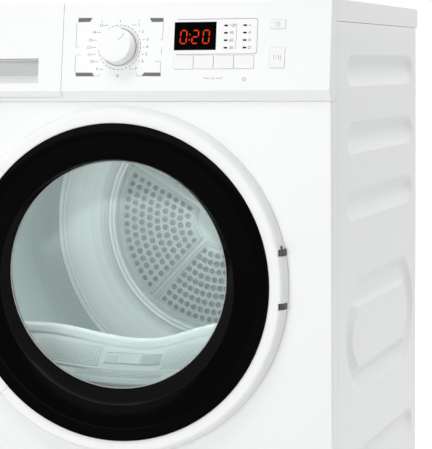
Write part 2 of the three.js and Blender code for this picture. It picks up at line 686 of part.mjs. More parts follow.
function makeDrive() {
  const wheels = [
    { x: 0, z: drumZ, r: drumRadius },
    { x: motorX, z: motorZ, r: pulleyRadius },
    { x: idlerX, z: idlerZ, r: idlerRadius },
  ];
  const beltYs = [beltY, beltY + beltWidth];
  add('drive_belt', cut(
    prismAlongY(beltOutline(wheels, seat + beltThick), beltYs),
    prismAlongY(beltOutline(wheels, seat), [beltYs[0] - 1, beltYs[1] + 1]),
  ), darkRubber);

  const axis = [motorX, motorZ];
  const motorY = [236, 396];
  const bore = motorShaftRadius + seat;
  const pivot = [motorX - 27, motorZ + 17];
  const armY = [beltYs[1] + 5, beltYs[1] + 8];
  const armAngle = Math.atan2(idlerZ - pivot[1], idlerX - pivot[0]);
  const armLength = Math.hypot(idlerZ - pivot[1], idlerX - pivot[0]);
  const bar = blockGeometry([0, armLength], armY, [-7, 7]).rotateY(-armAngle).translate(pivot[0], 0, pivot[1]);
  const arm = [
    solidOf(bar),
    rod('y', pivot, 9, [armY[0], motorY[0] + 1]),
    rod('y', [idlerX, idlerZ], 8, armY),
    rod('y', [idlerX, idlerZ], 4, [beltYs[0] - 4, armY[1]], 16),
  ];
  const legs = [motorY[0] + 14, motorY[1] - 26].map((y) => block(
    [motorX - 35, motorX + 35], [y, y + 12], [floorTop + seat, motorZ - 20],
  ));
  const can = turned([
    [0, motorY[0]], [42, motorY[0]], [motorRadius, motorY[0] + 12], [motorRadius, motorY[1] - 12],
    [42, motorY[1]], [0, motorY[1]],
  ], axis, 20);
  add('motor_body', cut(join(can, ...legs, ...arm), rod('y', axis, bore, [motorY[0] - 1, motorY[1] + 1])), zinc);

  const flange = pulleyRadius + 3.3;
  add('motor_shaft', turned([
    [0, 118], [motorShaftRadius, 118], [motorShaftRadius, beltY - 4], [flange, beltY - 4], [flange, beltY - 2],
    [pulleyRadius, beltY - 1], [pulleyRadius, beltYs[1] + 1], [flange, beltYs[1] + 2], [flange, beltYs[1] + 4],
    [motorShaftRadius, beltYs[1] + 4], [motorShaftRadius, 470], [0, 470],
  ], axis, 14), steel);

  const fanY = [130, 178];
  const blades = around(9, (angle) => {
    const blade = blockGeometry([-1, 1], [fanY[0] + 1, fanY[1] - 1], [-8, 8]);
    blade.rotateY(THREE.MathUtils.degToRad(35)).translate(0, 0, fanRadius - 10);
    return solidOf(blade.rotateY(angle).translate(motorX, 0, motorZ));
  });
  const ring = cut(
    rod('y', axis, fanRadius, [fanY[0], fanY[0] + 4], 18),
    rod('y', axis, fanRadius - 14, [fanY[0] - 1, fanY[0] + 5], 18),
  );
  add('process_fan', cut(
    join(ring, rod('y', axis, fanRadius, [fanY[1] - 2, fanY[1]], 18), rod('y', axis, 15, fanY), ...blades),
    rod('y', axis, bore, [fanY[0] - 1, fanY[1] + 1]),
  ), greyPlastic);

  const scroll = fanRadius + 8;
  const scrollY = [fanY[0] - 6, fanY[1] + 6];
  const outletZ = [floorTop + 27, floorTop + 82];
  const volute = (inset) => join(
    rod('y', axis, scroll - inset, [scrollY[0] + inset, scrollY[1] - inset], 24),
    block([ductX[1] + seat - (inset ? 1 : 0), motorX], [scrollY[0] + inset, scrollY[1] - inset],
      [outletZ[0] + inset, outletZ[1] - inset]),
  );
  const fanLegs = [scrollY[0], scrollY[1] - 8].map((y) => block(
    [motorX - 30, motorX + 30], [y, y + 8], [floorTop + seat, motorZ - scroll + 12],
  ));
  add('fan_housing', cut(
    join(volute(0), ...fanLegs),
    volute(2),
    rod('y', axis, 42, [scrollY[0] - 1, scrollY[0] + 3], 20),
    rod('y', axis, 12, [scrollY[1] - 3, scrollY[1] + 1]),
  ), greyPlastic);

  const coolY = [438, 458];
  const vanes = around(7, (angle) => {
    const vane = blockGeometry([-13, 13], [-1.2, 1.2], [14, 50]).rotateZ(THREE.MathUtils.degToRad(32));
    return solidOf(vane.rotateY(angle).translate(motorX, (coolY[0] + coolY[1]) / 2, motorZ));
  });
  add('cooling_fan', cut(
    join(rod('y', axis, 17, coolY), ...vanes),
    rod('y', axis, bore, [coolY[0] - 1, coolY[1] + 1]),
  ), greyPlastic);

  add('idler_wheel', cut(
    rod('y', [idlerX, idlerZ], idlerRadius, [beltYs[0] - 2, beltYs[1] + 2], 24),
    rod('y', [idlerX, idlerZ], 4 + seat, [beltYs[0] - 3, beltYs[1] + 3], 16),
  ), darkRubber);
}

// ---- air and water ------------------------------------------------------------------------------
function exchangerSleeve() {
  const y = exchangerY;
  const sleeve = cut(
    block(ductX, y, ductZ),
    block([ductX[0] + wall, ductX[1] - wall], [y[0] - 1, y[1] - wall], [ductZ[0] + wall, ductZ[1] - wall]),
    block([ductX[1] - wall - 1, ductX[1] + 1], [126, 182], [floorTop + 30, floorTop + 80]),
    block([ductX[0] + 40, ductX[1] - 40], [y[1] - wall - 1, y[1] + 1], [ductZ[0] + 20, ductZ[1] - 20]),
  );
  const legs = [ductX[0] + 20, ductX[1] - 32].flatMap((x) => [y[0] + 70, y[1] - 60].map((legY) => (
    block([x, x + 12], [legY, legY + 12], [floorTop - 1, ductZ[0] + 1])
  )));
  return [sleeve, ...legs];
}

function makeHeatExchange() {
  const y = exchangerY;
  const x = [ductX[0] + wall + 1.5, ductX[1] - wall - 1.5];
  const blockY = [y[0] + 2, y[1] - 22];
  const z = [ductZ[0] + wall + seat, ductZ[1] - wall - 3];
  const finPitch = 10;
  const finThick = 2;
  const finCount = Math.floor((z[1] - z[0] - 16) / finPitch);
  const gaps = Array.from({ length: finCount }, (_, i) => block(
    [x[0] - 1, x[1] + 1], [blockY[0] + 18, blockY[1] - 6],
    [z[0] + 8 + i * finPitch, z[0] + 8 - finThick + (i + 1) * finPitch],
  ));
  const grip = block([(x[0] + x[1]) / 2 - 45, (x[0] + x[1]) / 2 + 45], [blockY[0] - 1, blockY[0] + 16],
    [z[0] + 45, z[0] + 80]);
  add('heat_exchanger', cut(block(x, blockY, z), ...gaps, grip), [0xc9ced0, 0.35, 0.9]);

  const pump = [-215, panY - 35];
  const pumpBody = [
    rod('z', pump, 24, [floorTop + seat, floorTop + 60]),
    rod('z', pump, 15, [floorTop + 59, floorTop + 82]),
    rod('x', [pump[1], floorTop + 40], 7.5, [pump[0] - 34, pump[0]], 16),
  ];

  const hoseX = -268;
  const route = new THREE.CatmullRomCurve3([
    [pump[0] - 30, pump[1], floorTop + 40], [pump[0] - 42, pump[1], floorTop + 40],
    [hoseX, pump[1] + 3, floorTop + 58], [hoseX, pump[1] + 6, floorTop + 100],
    [hoseX, pump[1] + 8, floorTop + 320],
    [hoseX, pump[1] + 8, tankSection(slide + 2)[0][1] + (hoseX - tankX[0]) * tankSlope - 1.2],
  ].map((point) => new THREE.Vector3(...point)));
  const section = new THREE.Shape().absarc(0, 0, 6, 0, Math.PI * 2);
  const hose = new THREE.ExtrudeGeometry(section, { extrudePath: route, steps: 14, curveSegments: 4 });
  add('drain_pump', join(...pumpBody, solidOf(hose)), greyPlastic);
}

const flapY = 4;
const flapZ = serviceZ[0] + 5.5;
const flapPin = 2.2;

function makeServiceFlap() {
  const x = [serviceX[0] + 1, serviceX[1] - 1];
  const top = serviceZ[1] - 1;
  const skin = block(x, [0, wall], [flapZ, top]);
  const barrel = rod('x', [flapY, flapZ], flapY, x, 20);
  const pins = rod('x', [flapY, flapZ], flapPin, [x[0] - 2.6, x[1] + 2.6], 16);
  const rims = [
    block([x[0], x[0] + wall], [0, 9], [flapZ, top]),
    block([x[1] - wall, x[1]], [0, 9], [flapZ, top]),
    block(x, [0, 9], [top - wall, top]),
    block([(x[0] + x[1]) / 2 - 1, (x[0] + x[1]) / 2 + 1], [0, 9], [flapZ, top]),
  ];
  const notch = block([(x[0] + x[1]) / 2 + 40, (x[0] + x[1]) / 2 + 80], [-1, 6], [top - 14, top + 1]);
  const notchWall = block([(x[0] + x[1]) / 2 + 38, (x[0] + x[1]) / 2 + 82], [0, 9], [top - 16, top]);
  add('service_flap', cut(join(skin, barrel, pins, ...rims, notchWall), notch), whitePlastic);
}

// ---- control fascia -----------------------------------------------------------------------------
const drawerX = -half + drawerLeftWidth;
const lipZ = fasciaZ + drawerLipHeight;
const fasciaWall = 3;

function fasciaOutline(inset) {
  const along = inset / Math.cos(tilt);
  const rear = inset ? frontReturn + 10 : frontReturn;
  const top = height - inset;
  return [
    [rear, top], [fasciaFaceY(top) + along + 4, top], [fasciaFaceY(top - 3) + along, top - 3],
    [fasciaFaceY(browZ) + along, browZ], [fasciaChinY + inset, fasciaZ + inset], [rear, fasciaZ + inset],
  ];
}

// A cutter in the tilted face's own frame: x, depth behind the face, and height above the knob's centre.
function onFace(geometry) {
  return solidOf(geometry.applyMatrix4(fasciaFace.matrix));
}

const faceHeight = (z) => (z - knobZ) / Math.cos(tilt);
const buttonRow = { x0: 82.7, pitch: 28, count: 4, z: [288.2, 305.9].map(faceHeight) };
const powerButton = { x: [215.3, 235.8], z: [340.1, 352.5].map(faceHeight) };
const startButton = { x: [214.9, 236.1], z: [288.9, 316].map(faceHeight) };
const displayPane = { x: [83.8, 140.9], z: [313.3, 350.6].map(faceHeight) };
const lightColumns = [153.5, 179.6];
const lightRows = [345.5, 335.7, 325.9, 316].map(faceHeight);
const lightSize = [4.8, 2.2];

const buttons = [
  ...Array.from({ length: buttonRow.count }, (_, i) => ({
    name: `option_button_${i + 1}`,
    x: [buttonRow.x0 + i * buttonRow.pitch, buttonRow.x0 + (i + 1) * buttonRow.pitch - 0.7],
    z: buttonRow.z,
  })),
  { name: 'power_button', ...powerButton },
  { name: 'start_button', ...startButton },
];

const lights = lightColumns.flatMap((x) => lightRows.map((z) => ({
  x: [x - lightSize[0] / 2, x + lightSize[0] / 2],
  z: [z - lightSize[1] / 2, z + lightSize[1] / 2],
})));

const grown = ([a, b], margin) => [a - margin, b + margin];

function makeFascia() {
  const full = prismAlongX(fasciaOutline(0), [-half, half]);
  const hollow = prismAlongX(fasciaOutline(fasciaWall), [-half + fasciaWall, half - fasciaWall]);
  const drawerSpace = block([-half - 1, drawerX], [-40, 60], [lipZ, height + 1]);
  const jamb = full.intersect(block([drawerX, drawerX + fasciaWall], [-40, 60], [fasciaZ, height + 1]));
  const posts = [boardX[0] + 5, boardX[1] - 5].flatMap((x) => [-30, 36].map((z) => (
    onFace(rodGeometry('y', [x, z], 3, [fasciaWall - 1, boardDepth - seat], 12))
  )));
  const holes = [
    ...buttons.map(({ x, z }) => onFace(blockGeometry(grown(x, seat), [-5, 9], grown(z, seat)))),
    ...lights.map(({ x, z }) => onFace(blockGeometry(grown(x, seat), [-5, 9], grown(z, seat)))),
    onFace(blockGeometry(grown(displayPane.x, seat), [-5, 9], grown(displayPane.z, seat))),
    onFace(rodGeometry('y', [knobX, 0], 6, [-5, 9])),
  ];
  add('control_panel', cut(join(cut(full, hollow, drawerSpace), jamb, ...posts), ...holes), whitePlastic);

  const gripX = [-263, -111];
  const grip = {
    mouth: [304.5, 270].map((z) => doorZ + z), pocket: [302, 279].map((z) => doorZ + z), rear: 14,
  };
  const gripProfile = (margin) => [
    [-40, grip.mouth[0] + margin], [fasciaFaceY(grip.mouth[0]), grip.mouth[0] + margin],
    [fasciaFaceY(grip.mouth[0]) + 5, grip.pocket[0] + margin], [grip.rear + margin, grip.pocket[0] + margin],
    [grip.rear + margin, grip.pocket[1] - margin], [fasciaFaceY(grip.mouth[1]), grip.mouth[1] - margin],
    [-40, grip.mouth[1] - margin],
  ];
  const frontX = [-half, drawerX - slide];
  const bounds = block(frontX, [-40, 60], [lipZ + seat, height + 1]);
  const inside = block(
    [frontX[0] + fasciaWall, frontX[1] - fasciaWall], [-40, 60], [lipZ + seat + fasciaWall, height + 1],
  );
  const pocketWall = prismAlongX(gripProfile(2), [gripX[0] - 2, gripX[1] + 2]).intersect(full);
  const face = cut(full.intersect(bounds), hollow.intersect(inside));
  add('drawer_front', cut(join(face, pocketWall), prismAlongX(gripProfile(0), gripX)), whitePlastic);
}

const boardDepth = 14;
const boardX = [70, 248];

function makeControls() {
  const encoder = blockGeometry([knobX - 14, knobX + 14], [fasciaWall + seat, boardDepth + 1], [-14, 14]);
  const encoderStem = rodGeometry('y', [knobX, 0], 3, [-13, fasciaWall + 1], 16);
  add('control_board', join(
    solidOf(blockGeometry([knobX - 22, boardX[1]], [boardDepth, boardDepth + 1.6], [-36, 40])),
    solidOf(encoder),
    solidOf(encoderStem),
    solidOf(blockGeometry([84, 140], [boardDepth + 1, boardDepth + 7], [-4, 30])),
    solidOf(blockGeometry([200, 222], [boardDepth + 1, boardDepth + 10], [-30, -10])),
  ), [0x2f5a3c, 0.6], fasciaFace);

  for (const { name, x, z } of buttons) {
    const middle = [(x[0] + x[1]) / 2, (z[0] + z[1]) / 2];
    const flange = blockGeometry(x, [fasciaWall + 0.6, fasciaWall + 2.1], grown(z, 1.2));
    const stem = rodGeometry('y', middle, 2.5, [fasciaWall + 1, boardDepth - buttonTravel - seat], 6);
    add(name, join(solidOf(blockGeometry(x, [-1.1, fasciaWall + 2.1], z)), solidOf(flange), solidOf(stem)),
      palePlastic, fasciaFace);
  }

  const pane = blockGeometry(displayPane.x, [0.1, fasciaWall], displayPane.z);
  add('display_window', solidOf(pane), blackGloss, fasciaFace);

  const guideX = [lightColumns[0] - 6, lightColumns[1] + 6];
  const plate = blockGeometry(guideX, [fasciaWall + seat, fasciaWall + 2.3], [lightRows[3] - 3, lightRows[0] + 3]);
  const bars = lights.map(({ x, z }) => solidOf(blockGeometry(x, [0.1, fasciaWall + 1], z)));
  add('light_guide', join(solidOf(plate), ...bars), [0xdfe3e4, 0.3], fasciaFace);

  const knob = turnedGeometry([
    [3 + seat, -0.4], [knobRadius, -0.4], [knobRadius, -2.6], [knobRadius - 1.4, -4.6], [knobRadius - 2.6, -5.4],
    [knobRadius - 3.4, 1.8 - knobDepth], [knobRadius - 4.8, 0.4 - knobDepth], [0, -knobDepth], [0, -15],
    [3 + seat, -15],
  ], [knobX, 0], 20);
  add('program_knob', solidOf(knob), whitePlastic, fasciaFace);
}

function makeWaterDrawer() {
  const y = [frontReturn + seat, panY - 25];
  const shell = cut(
    prismAlongY(tankSection(0), y),
    prismAlongY(tankSection(-2), [y[0] + 2, y[1] - 2]),
    rod('z', [tankX[0] + 36, y[1] - 40], 9, [doorZ + tankTopZ - 6, doorZ + tankTopZ + 1]),
  );
  add('water_tank', shell, [0xd5dadb, 0.4]);
  const trayY = [bulkheadRear + seat, panY - 5];
  add('drawer_housing', cut(
    prismAlongY(tankSection(slide + 1.8, underFlangeZ - doorZ - tankTopZ), trayY),
    prismAlongY(tankSection(slide, 20), [trayY[0] - 1, trayY[1] - 2]),
  ), greyPlastic);
}

// ---- door ---------------------------------------------------------------------------------------
const gripSector = [137, 223];

function sectorPrism([from, to], reach, y) {
  const steps = 6;
  const arc = Array.from({ length: steps + 1 }, (_, i) => {
    const angle = THREE.MathUtils.degToRad(from + ((to - from) * i) / steps);
    return [reach * Math.cos(angle), doorZ + reach * Math.sin(angle)];
  });
  return prismAlongY([[0, doorZ], ...arc], y);
}

function makeDoor() {
  const centre = [0, doorZ];
  const back = -doorGap;
  const front = -doorDepth;
  const innerRing = doorInnerRadius + 0.3;
  const ring = turned([
    [innerRing, back], [doorRadius, back], [doorRadius - 0.9, -6], [doorRadius - 3.4, front + 5],
    [doorFaceRadius, front + 1.2], [doorFaceRadius - 1.6, front], [innerRing, front],
  ], centre);
  const axis = [hingeX, hingeY];
  const hingeBand = [doorZ - 76, doorZ + 76];
  const beyond = cut(
    block([hingeX, hingeX + 20], [front - 5, 5], hingeBand),
    rod('z', axis, hingeClear, [hingeBand[0] - 1, hingeBand[1] + 1], 28),
  );
  const notches = hingeEars.map((z) => block(
    [hingeX - 4.8, hingeX + 20], [front - 5, 5],
    [doorZ + z - earHeight / 2 - seat, doorZ + z + earHeight / 2 + seat],
  ));
  const bore = rod('z', axis, pinRadius + 0.4, [doorZ + hingeEars[1] - 12, doorZ + hingeEars[0] + 12], 16);
  add('door_outer_ring', cut(
    ring, sectorPrism(grown(gripSector, 0.08), doorRadius + 60, [front - 2, 2]), beyond, ...notches, bore,
  ), whitePlastic);

  const fingers = cut(
    sectorPrism([164, 196], doorRadius + 20, [front + 7, 2]),
    rod('y', centre, doorRadius - 10.4, [front, 3], roundSides),
  );
  const hookX = [-226.5, -218.5];
  const hook = [
    block(hookX, [back - 1, 14], [doorZ - 8, doorZ + 8]),
    block([hookX[0] + 1, hookX[1] - 1], [9, 14], [doorZ - 8, doorZ + 11]),
  ];
  const grip = cut(ring.intersect(sectorPrism(gripSector, doorRadius + 60, [front - 2, 2])), fingers);
  add('door_handle', join(grip, ...hook), whitePlastic);

  const proud = front - blackProud;
  add('door_black_ring', leaning([
    [doorInnerRadius - 0.1, back], [doorInnerRadius - 0.1, proud + 1], [doorInnerRadius - 1.5, proud],
    [bevelOuter, proud + 4], [glassRadius, windowY], [glassRadius + 2.5, windowY + 1.5],
    [bevelOuter + 2, proud + 7], [doorInnerRadius - 4, proud + 3.5], [doorInnerRadius - 4, back],
  ], centre, [glassRadius + 3, bevelOuter], windowRise), blackGloss);

  const rimFront = windowY + 2;
  const rimBack = rimFront + glassThick;
  const rim = glassRadius + 18;
  const bowl = [[glassRadius - 4, 0.08], [glassRadius - 16, 0.38], [104, 0.74], [54, 0.95], [0, 1]];
  const bowlY = (t) => rimFront + t * (bowlDepth - rimFront);
  add('door_glass', turned([
    [0, bowlY(1)], ...bowl.slice(0, -1).reverse().map(([r, t]) => [r, bowlY(t)]), [glassRadius - 1, rimFront],
    [rim, rimFront], [rim, rimBack], [glassRadius + 3, rimBack],
    ...bowl.slice(1, -1).map(([r, t]) => [r + glassThick * 0.9, bowlY(t) + glassThick * 0.6]),
    [0, bowlY(1) + glassThick],
  ], [0, doorZ + windowRise]), glassTint);

  const plug = mouthRadius - 3;
  const plugEnd = 25;
  const frameFront = -3.3;
  const frameOuter = doorInnerRadius - 4.3;
  const lipBack = rimBack + seat;
  add('door_inner_frame', leaning([
    [frameOuter, frameFront], [frameOuter, back], [plug, back], [plug - 2, plugEnd], [bevelOuter + 1, plugEnd],
    [glassRadius + 6, lipBack + 2.5], [glassRadius + 6, lipBack], [rim + seat, lipBack], [rim + seat, frameFront],
  ], centre, [bevelOuter + 1, plug - 2], windowRise), greyPlastic);

  add('door_lock', cut(
    block([-252, -214.3], [sheet + seat, bulkheadY - seat], [doorZ - 32, doorZ + 32]),
    block([-229, -216], [0, 20], [doorZ - 13, doorZ + 13]),
  ), greyPlastic);

  const plateY = [sheet + seat, sheet + seat + 2];
  const ears = hingeEars.flatMap((z) => {
    const ear = [doorZ + z - earHeight / 2, doorZ + z + earHeight / 2];
    return [block([hingeX - 4.2, hingeX + 4.2], [hingeY, plateY[1]], ear), rod('z', axis, 4.2, ear, 20)];
  });
  add('hinge_bracket', join(
    block([hingeX - 8, hingeX + 32], plateY, [doorZ - 48, doorZ + 66]), ...ears,
    rod('z', axis, pinRadius, [doorZ + hingeEars[1] - 9, doorZ + hingeEars[0] + 9], 16),
  ), steel);
}

makeBasePlate();
makeFeet();
makeSidePanel('side_panel_left', -1);
makeSidePanel('side_panel_right', 1);
makeFrontPanel();
makeTopPlate();
makeRearCover();
makeFrontBulkhead();
makeLintFilter();
makeRollers();
makeRearBulkhead();
makeDrum();
makeDrive();
makeHeatExchange();
makeServiceFlap();
makeFascia();
makeControls();
makeWaterDrawer();
makeDoor();

// The origin: on the floor, under the middle of the whole object.
dryer.updateMatrixWorld(true);
const extent = new THREE.Box3().setFromObject(dryer, true);
dryer.position.set(-(extent.min.x + extent.max.x) / 2, -(extent.min.y + extent.max.y) / 2, -extent.min.z);

export default dryer;
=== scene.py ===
import math
import bmesh
import bpy
from mathutils import Matrix, Vector


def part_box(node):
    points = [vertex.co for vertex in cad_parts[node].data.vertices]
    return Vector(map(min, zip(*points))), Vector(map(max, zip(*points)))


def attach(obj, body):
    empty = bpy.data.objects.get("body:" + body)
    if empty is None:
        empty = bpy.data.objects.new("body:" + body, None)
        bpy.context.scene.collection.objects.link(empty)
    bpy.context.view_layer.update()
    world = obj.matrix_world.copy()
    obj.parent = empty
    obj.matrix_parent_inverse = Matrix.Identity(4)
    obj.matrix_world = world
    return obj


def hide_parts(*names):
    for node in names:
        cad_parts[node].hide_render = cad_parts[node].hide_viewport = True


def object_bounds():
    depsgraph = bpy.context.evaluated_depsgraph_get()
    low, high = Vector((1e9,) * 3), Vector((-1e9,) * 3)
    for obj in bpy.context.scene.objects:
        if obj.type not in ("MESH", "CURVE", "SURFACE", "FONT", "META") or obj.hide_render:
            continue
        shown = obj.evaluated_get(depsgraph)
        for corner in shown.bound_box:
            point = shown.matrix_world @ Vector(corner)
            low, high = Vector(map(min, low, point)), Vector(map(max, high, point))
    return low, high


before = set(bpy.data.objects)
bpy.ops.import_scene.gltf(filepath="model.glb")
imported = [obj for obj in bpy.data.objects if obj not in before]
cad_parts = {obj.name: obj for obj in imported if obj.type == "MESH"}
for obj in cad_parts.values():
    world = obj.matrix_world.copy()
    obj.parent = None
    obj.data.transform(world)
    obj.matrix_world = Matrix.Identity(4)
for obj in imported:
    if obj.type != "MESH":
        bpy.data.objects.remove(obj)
cadLow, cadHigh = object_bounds()
print("frame loaded")

mm = 0.001
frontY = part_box("front_panel")[0].y  # outer face of the front sheet
doorLow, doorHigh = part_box("door_black_ring")
doorZ = (doorLow.z + doorHigh.z) / 2


def at(x, y, z):  # millimetres from the door's centre on the front sheet, to metres in the frame
    return Vector((x * mm, frontY + y * mm, doorZ + z * mm))


def span(node):  # the three ranges that a node fills, in the same millimetres
    low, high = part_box(node)
    return [((a - o) / mm, (b - o) / mm) for a, b, o in zip(low, high, (0, frontY, doorZ))]


drumX, drumY, drumSpanZ = span("drum_shell")
drumLift = sum(drumSpanZ) / 2  # drum axis above the door's
drumRadius = drumX[1]
halfWidth = span("front_panel")[0][1]


# node arithmetic
class Wire:  # one output socket that takes part in sums
    def __init__(self, kit, socket):
        self.kit = kit
        self.socket = socket

    def __add__(self, other):
        return self.kit.sum("ADD", self, other)

    __radd__ = __add__

    def __sub__(self, other):
        return self.kit.sum("SUBTRACT", self, other)

    def __rsub__(self, other):
        return self.kit.sum("SUBTRACT", other, self)

    def __mul__(self, other):
        return self.kit.sum("MULTIPLY", self, other)

    __rmul__ = __mul__


class Finish:  # one material, or the world, while its nodes are made
    def __init__(self, name, world=None):
        self.owner = world or bpy.data.materials.new(name)
        self.owner.use_nodes = True
        self.tree = self.owner.node_tree
        self.tree.nodes.clear()

    def node(self, kind, settings, sockets, output=0):
        made = self.tree.nodes.new(kind)
        for name, value in settings.items():
            if name == "stops":
                self.setStops(made.color_ramp, value)
            else:
                setattr(made, name, value)
        for name, value in sockets.items():
            if isinstance(value, Wire):
                self.tree.links.new(value.socket, made.inputs[name])
            else:
                made.inputs[name].default_value = value
        return Wire(self, made.outputs[output]) if made.outputs else None

    def setStops(self, ramp, stops):
        for _ in stops[2:]:
            ramp.elements.new(1.0)
        for element, (place, shade) in zip(ramp.elements, stops):
            element.position = place
            element.color = (shade, shade, shade, 1)

    def sum(self, operation, left, right=0.0):
        return self.node("ShaderNodeMath", {"operation": operation}, {0: left, 1: right})

    def along(self, axis, source="Object"):  # one coordinate of the spot that is shaded
        place = self.node("ShaderNodeTexCoord", {}, {}, source)
        return self.node("ShaderNodeSeparateXYZ", {}, {"Vector": place}, axis)

    def spot(self, stretch=(1, 1, 1)):
        place = self.node("ShaderNodeTexCoord", {}, {}, "Object")
        return self.node("ShaderNodeMapping", {}, {"Vector": place, "Scale": stretch})

    def noise(self, scale, detail=2.0, stretch=(1, 1, 1)):
        sockets = {"Vector": self.spot(stretch), "Scale": scale, "Detail": detail}
        return self.node("ShaderNodeTexNoise", {}, sockets)

    def ramp(self, mask, stops):
        return self.node("ShaderNodeValToRGB", {"stops": stops}, {"Fac": mask})

    def tint(self, mask, dark, light):
        return self.node("ShaderNodeMix", {"data_type": "RGBA"}, {0: mask, 6: (*dark, 1), 7: (*light, 1)}, 2)

    def skin(self, colour, fine, rough, depth, metallic=0.0, gloss=0.5):  # a surface with a fine grain
        return self.close(self.node("ShaderNodeBsdfPrincipled", {}, {
            "Base Color": colour,
            "Roughness": fine * (rough[1] - rough[0]) + rough[0],
            "Metallic": metallic,
            "Specular IOR Level": gloss,
            "Normal": self.node("ShaderNodeBump", {}, {"Height": fine, "Strength": 1.0, "Distance": depth}),
        }))

    def shown(self):  # 1 where the camera, a mirror or clear glass looks, 0 for light that falls on things
        kinds = ("Camera", "Glossy", "Transmission")
        rays = [self.node("ShaderNodeLightPath", {}, {}, f"Is {kind} Ray") for kind in kinds]
        return self.sum("MINIMUM", rays[0] + rays[1] + rays[2], 1.0)

    def close(self, shader, sink="ShaderNodeOutputMaterial"):
        self.node(sink, {}, {"Surface": shader})
        return self.owner


# finishes
def moulded(name, dark, light, rough, grain, depth, metallic=0.0, stretch=(1, 1, 1), gloss=0.5):
    kit = Finish(name)  # two close tones in slow clouds
    colour = kit.tint(kit.noise(7.0, 3.0), dark, light)
    return kit.skin(colour, kit.noise(grain, 2.0, stretch), rough, depth, metallic, gloss)


def dished(name, dull, bright, rough, grain, depth, metallic, rings):  # spun sheet with painted highlights: the base colour brightens in rings at the listed radii
    kit = Finish(name)
    x, z = kit.along("X"), kit.along("Z") - (doorZ + drumLift * mm)
    share = kit.sum("SQRT", x * x + z * z) * (1 / (drumRadius * mm))
    return kit.skin(kit.tint(kit.ramp(share, rings), dull, bright), kit.noise(grain), rough, depth, metallic)


def rolled(name, near, far, rough, grain, depth, metallic, ends):  # sheet with painted shade that darkens it towards its far end, deep in the drum
    kit = Finish(name)
    start, end = (at(0, y, 0).y for y in ends)
    depthShade = kit.ramp((kit.along("Y") - start) * (1 / (end - start)), [(0.0, 0.0), (1.0, 1.0)])
    return kit.skin(kit.tint(depthShade, near, far), kit.noise(grain, 2.0, (1, 0.2, 1)), rough, depth, metallic)


def spangled(name, dark, light, rough, scale):  # hot-dip zinc with its flat crystals
    kit = Finish(name)
    crystals = kit.node("ShaderNodeTexVoronoi", {}, {"Vector": kit.spot(), "Scale": scale}, "Color")
    shade = kit.node("ShaderNodeSeparateColor", {}, {"Color": crystals})
    shader = kit.node("ShaderNodeBsdfPrincipled", {}, {
        "Base Color": kit.tint(shade, dark, light),
        "Roughness": shade * 0.15 + rough,
        "Metallic": 0.75,
    })
    return kit.close(shader)


def seeThrough(name, tint, dark, shine, rough):  # clear wall: what is behind it, and a thin mirror skin
    kit = Finish(name)
    clear = kit.node("ShaderNodeBsdfTransparent", {}, {"Color": (*tint, 1)})
    clouds = kit.noise(20.0, 2.0)
    mirror = kit.node("ShaderNodeBsdfPrincipled", {}, {
        "Base Color": kit.tint(clouds, tuple(v * 0.9 for v in dark), dark),
        "Roughness": clouds * 0.02 + rough,
        "Specular IOR Level": 1.0,
    })
    rim = kit.node("ShaderNodeFresnel", {}, {"IOR": 1.25})
    mixed = kit.node("ShaderNodeMixShader", {}, {0: rim * shine + 0.012, 1: clear, 2: mirror})
    return kit.close(mixed)


def glowing(name, colour, strength):  # lit segments behind a dark pane, a little stronger in their middle
    kit = Finish(name)
    clouds = kit.noise(300.0, 1.0)
    shader = kit.node("ShaderNodeBsdfPrincipled", {}, {
        "Base Color": (0.02, 0.004, 0.002, 1),
        "Roughness": 0.3,
        "Specular IOR Level": 0.0,
        "Emission Color": kit.tint(clouds, tuple(v * 0.85 for v in colour), colour),
        "Emission Strength": strength,
    })
    return kit.close(shader)


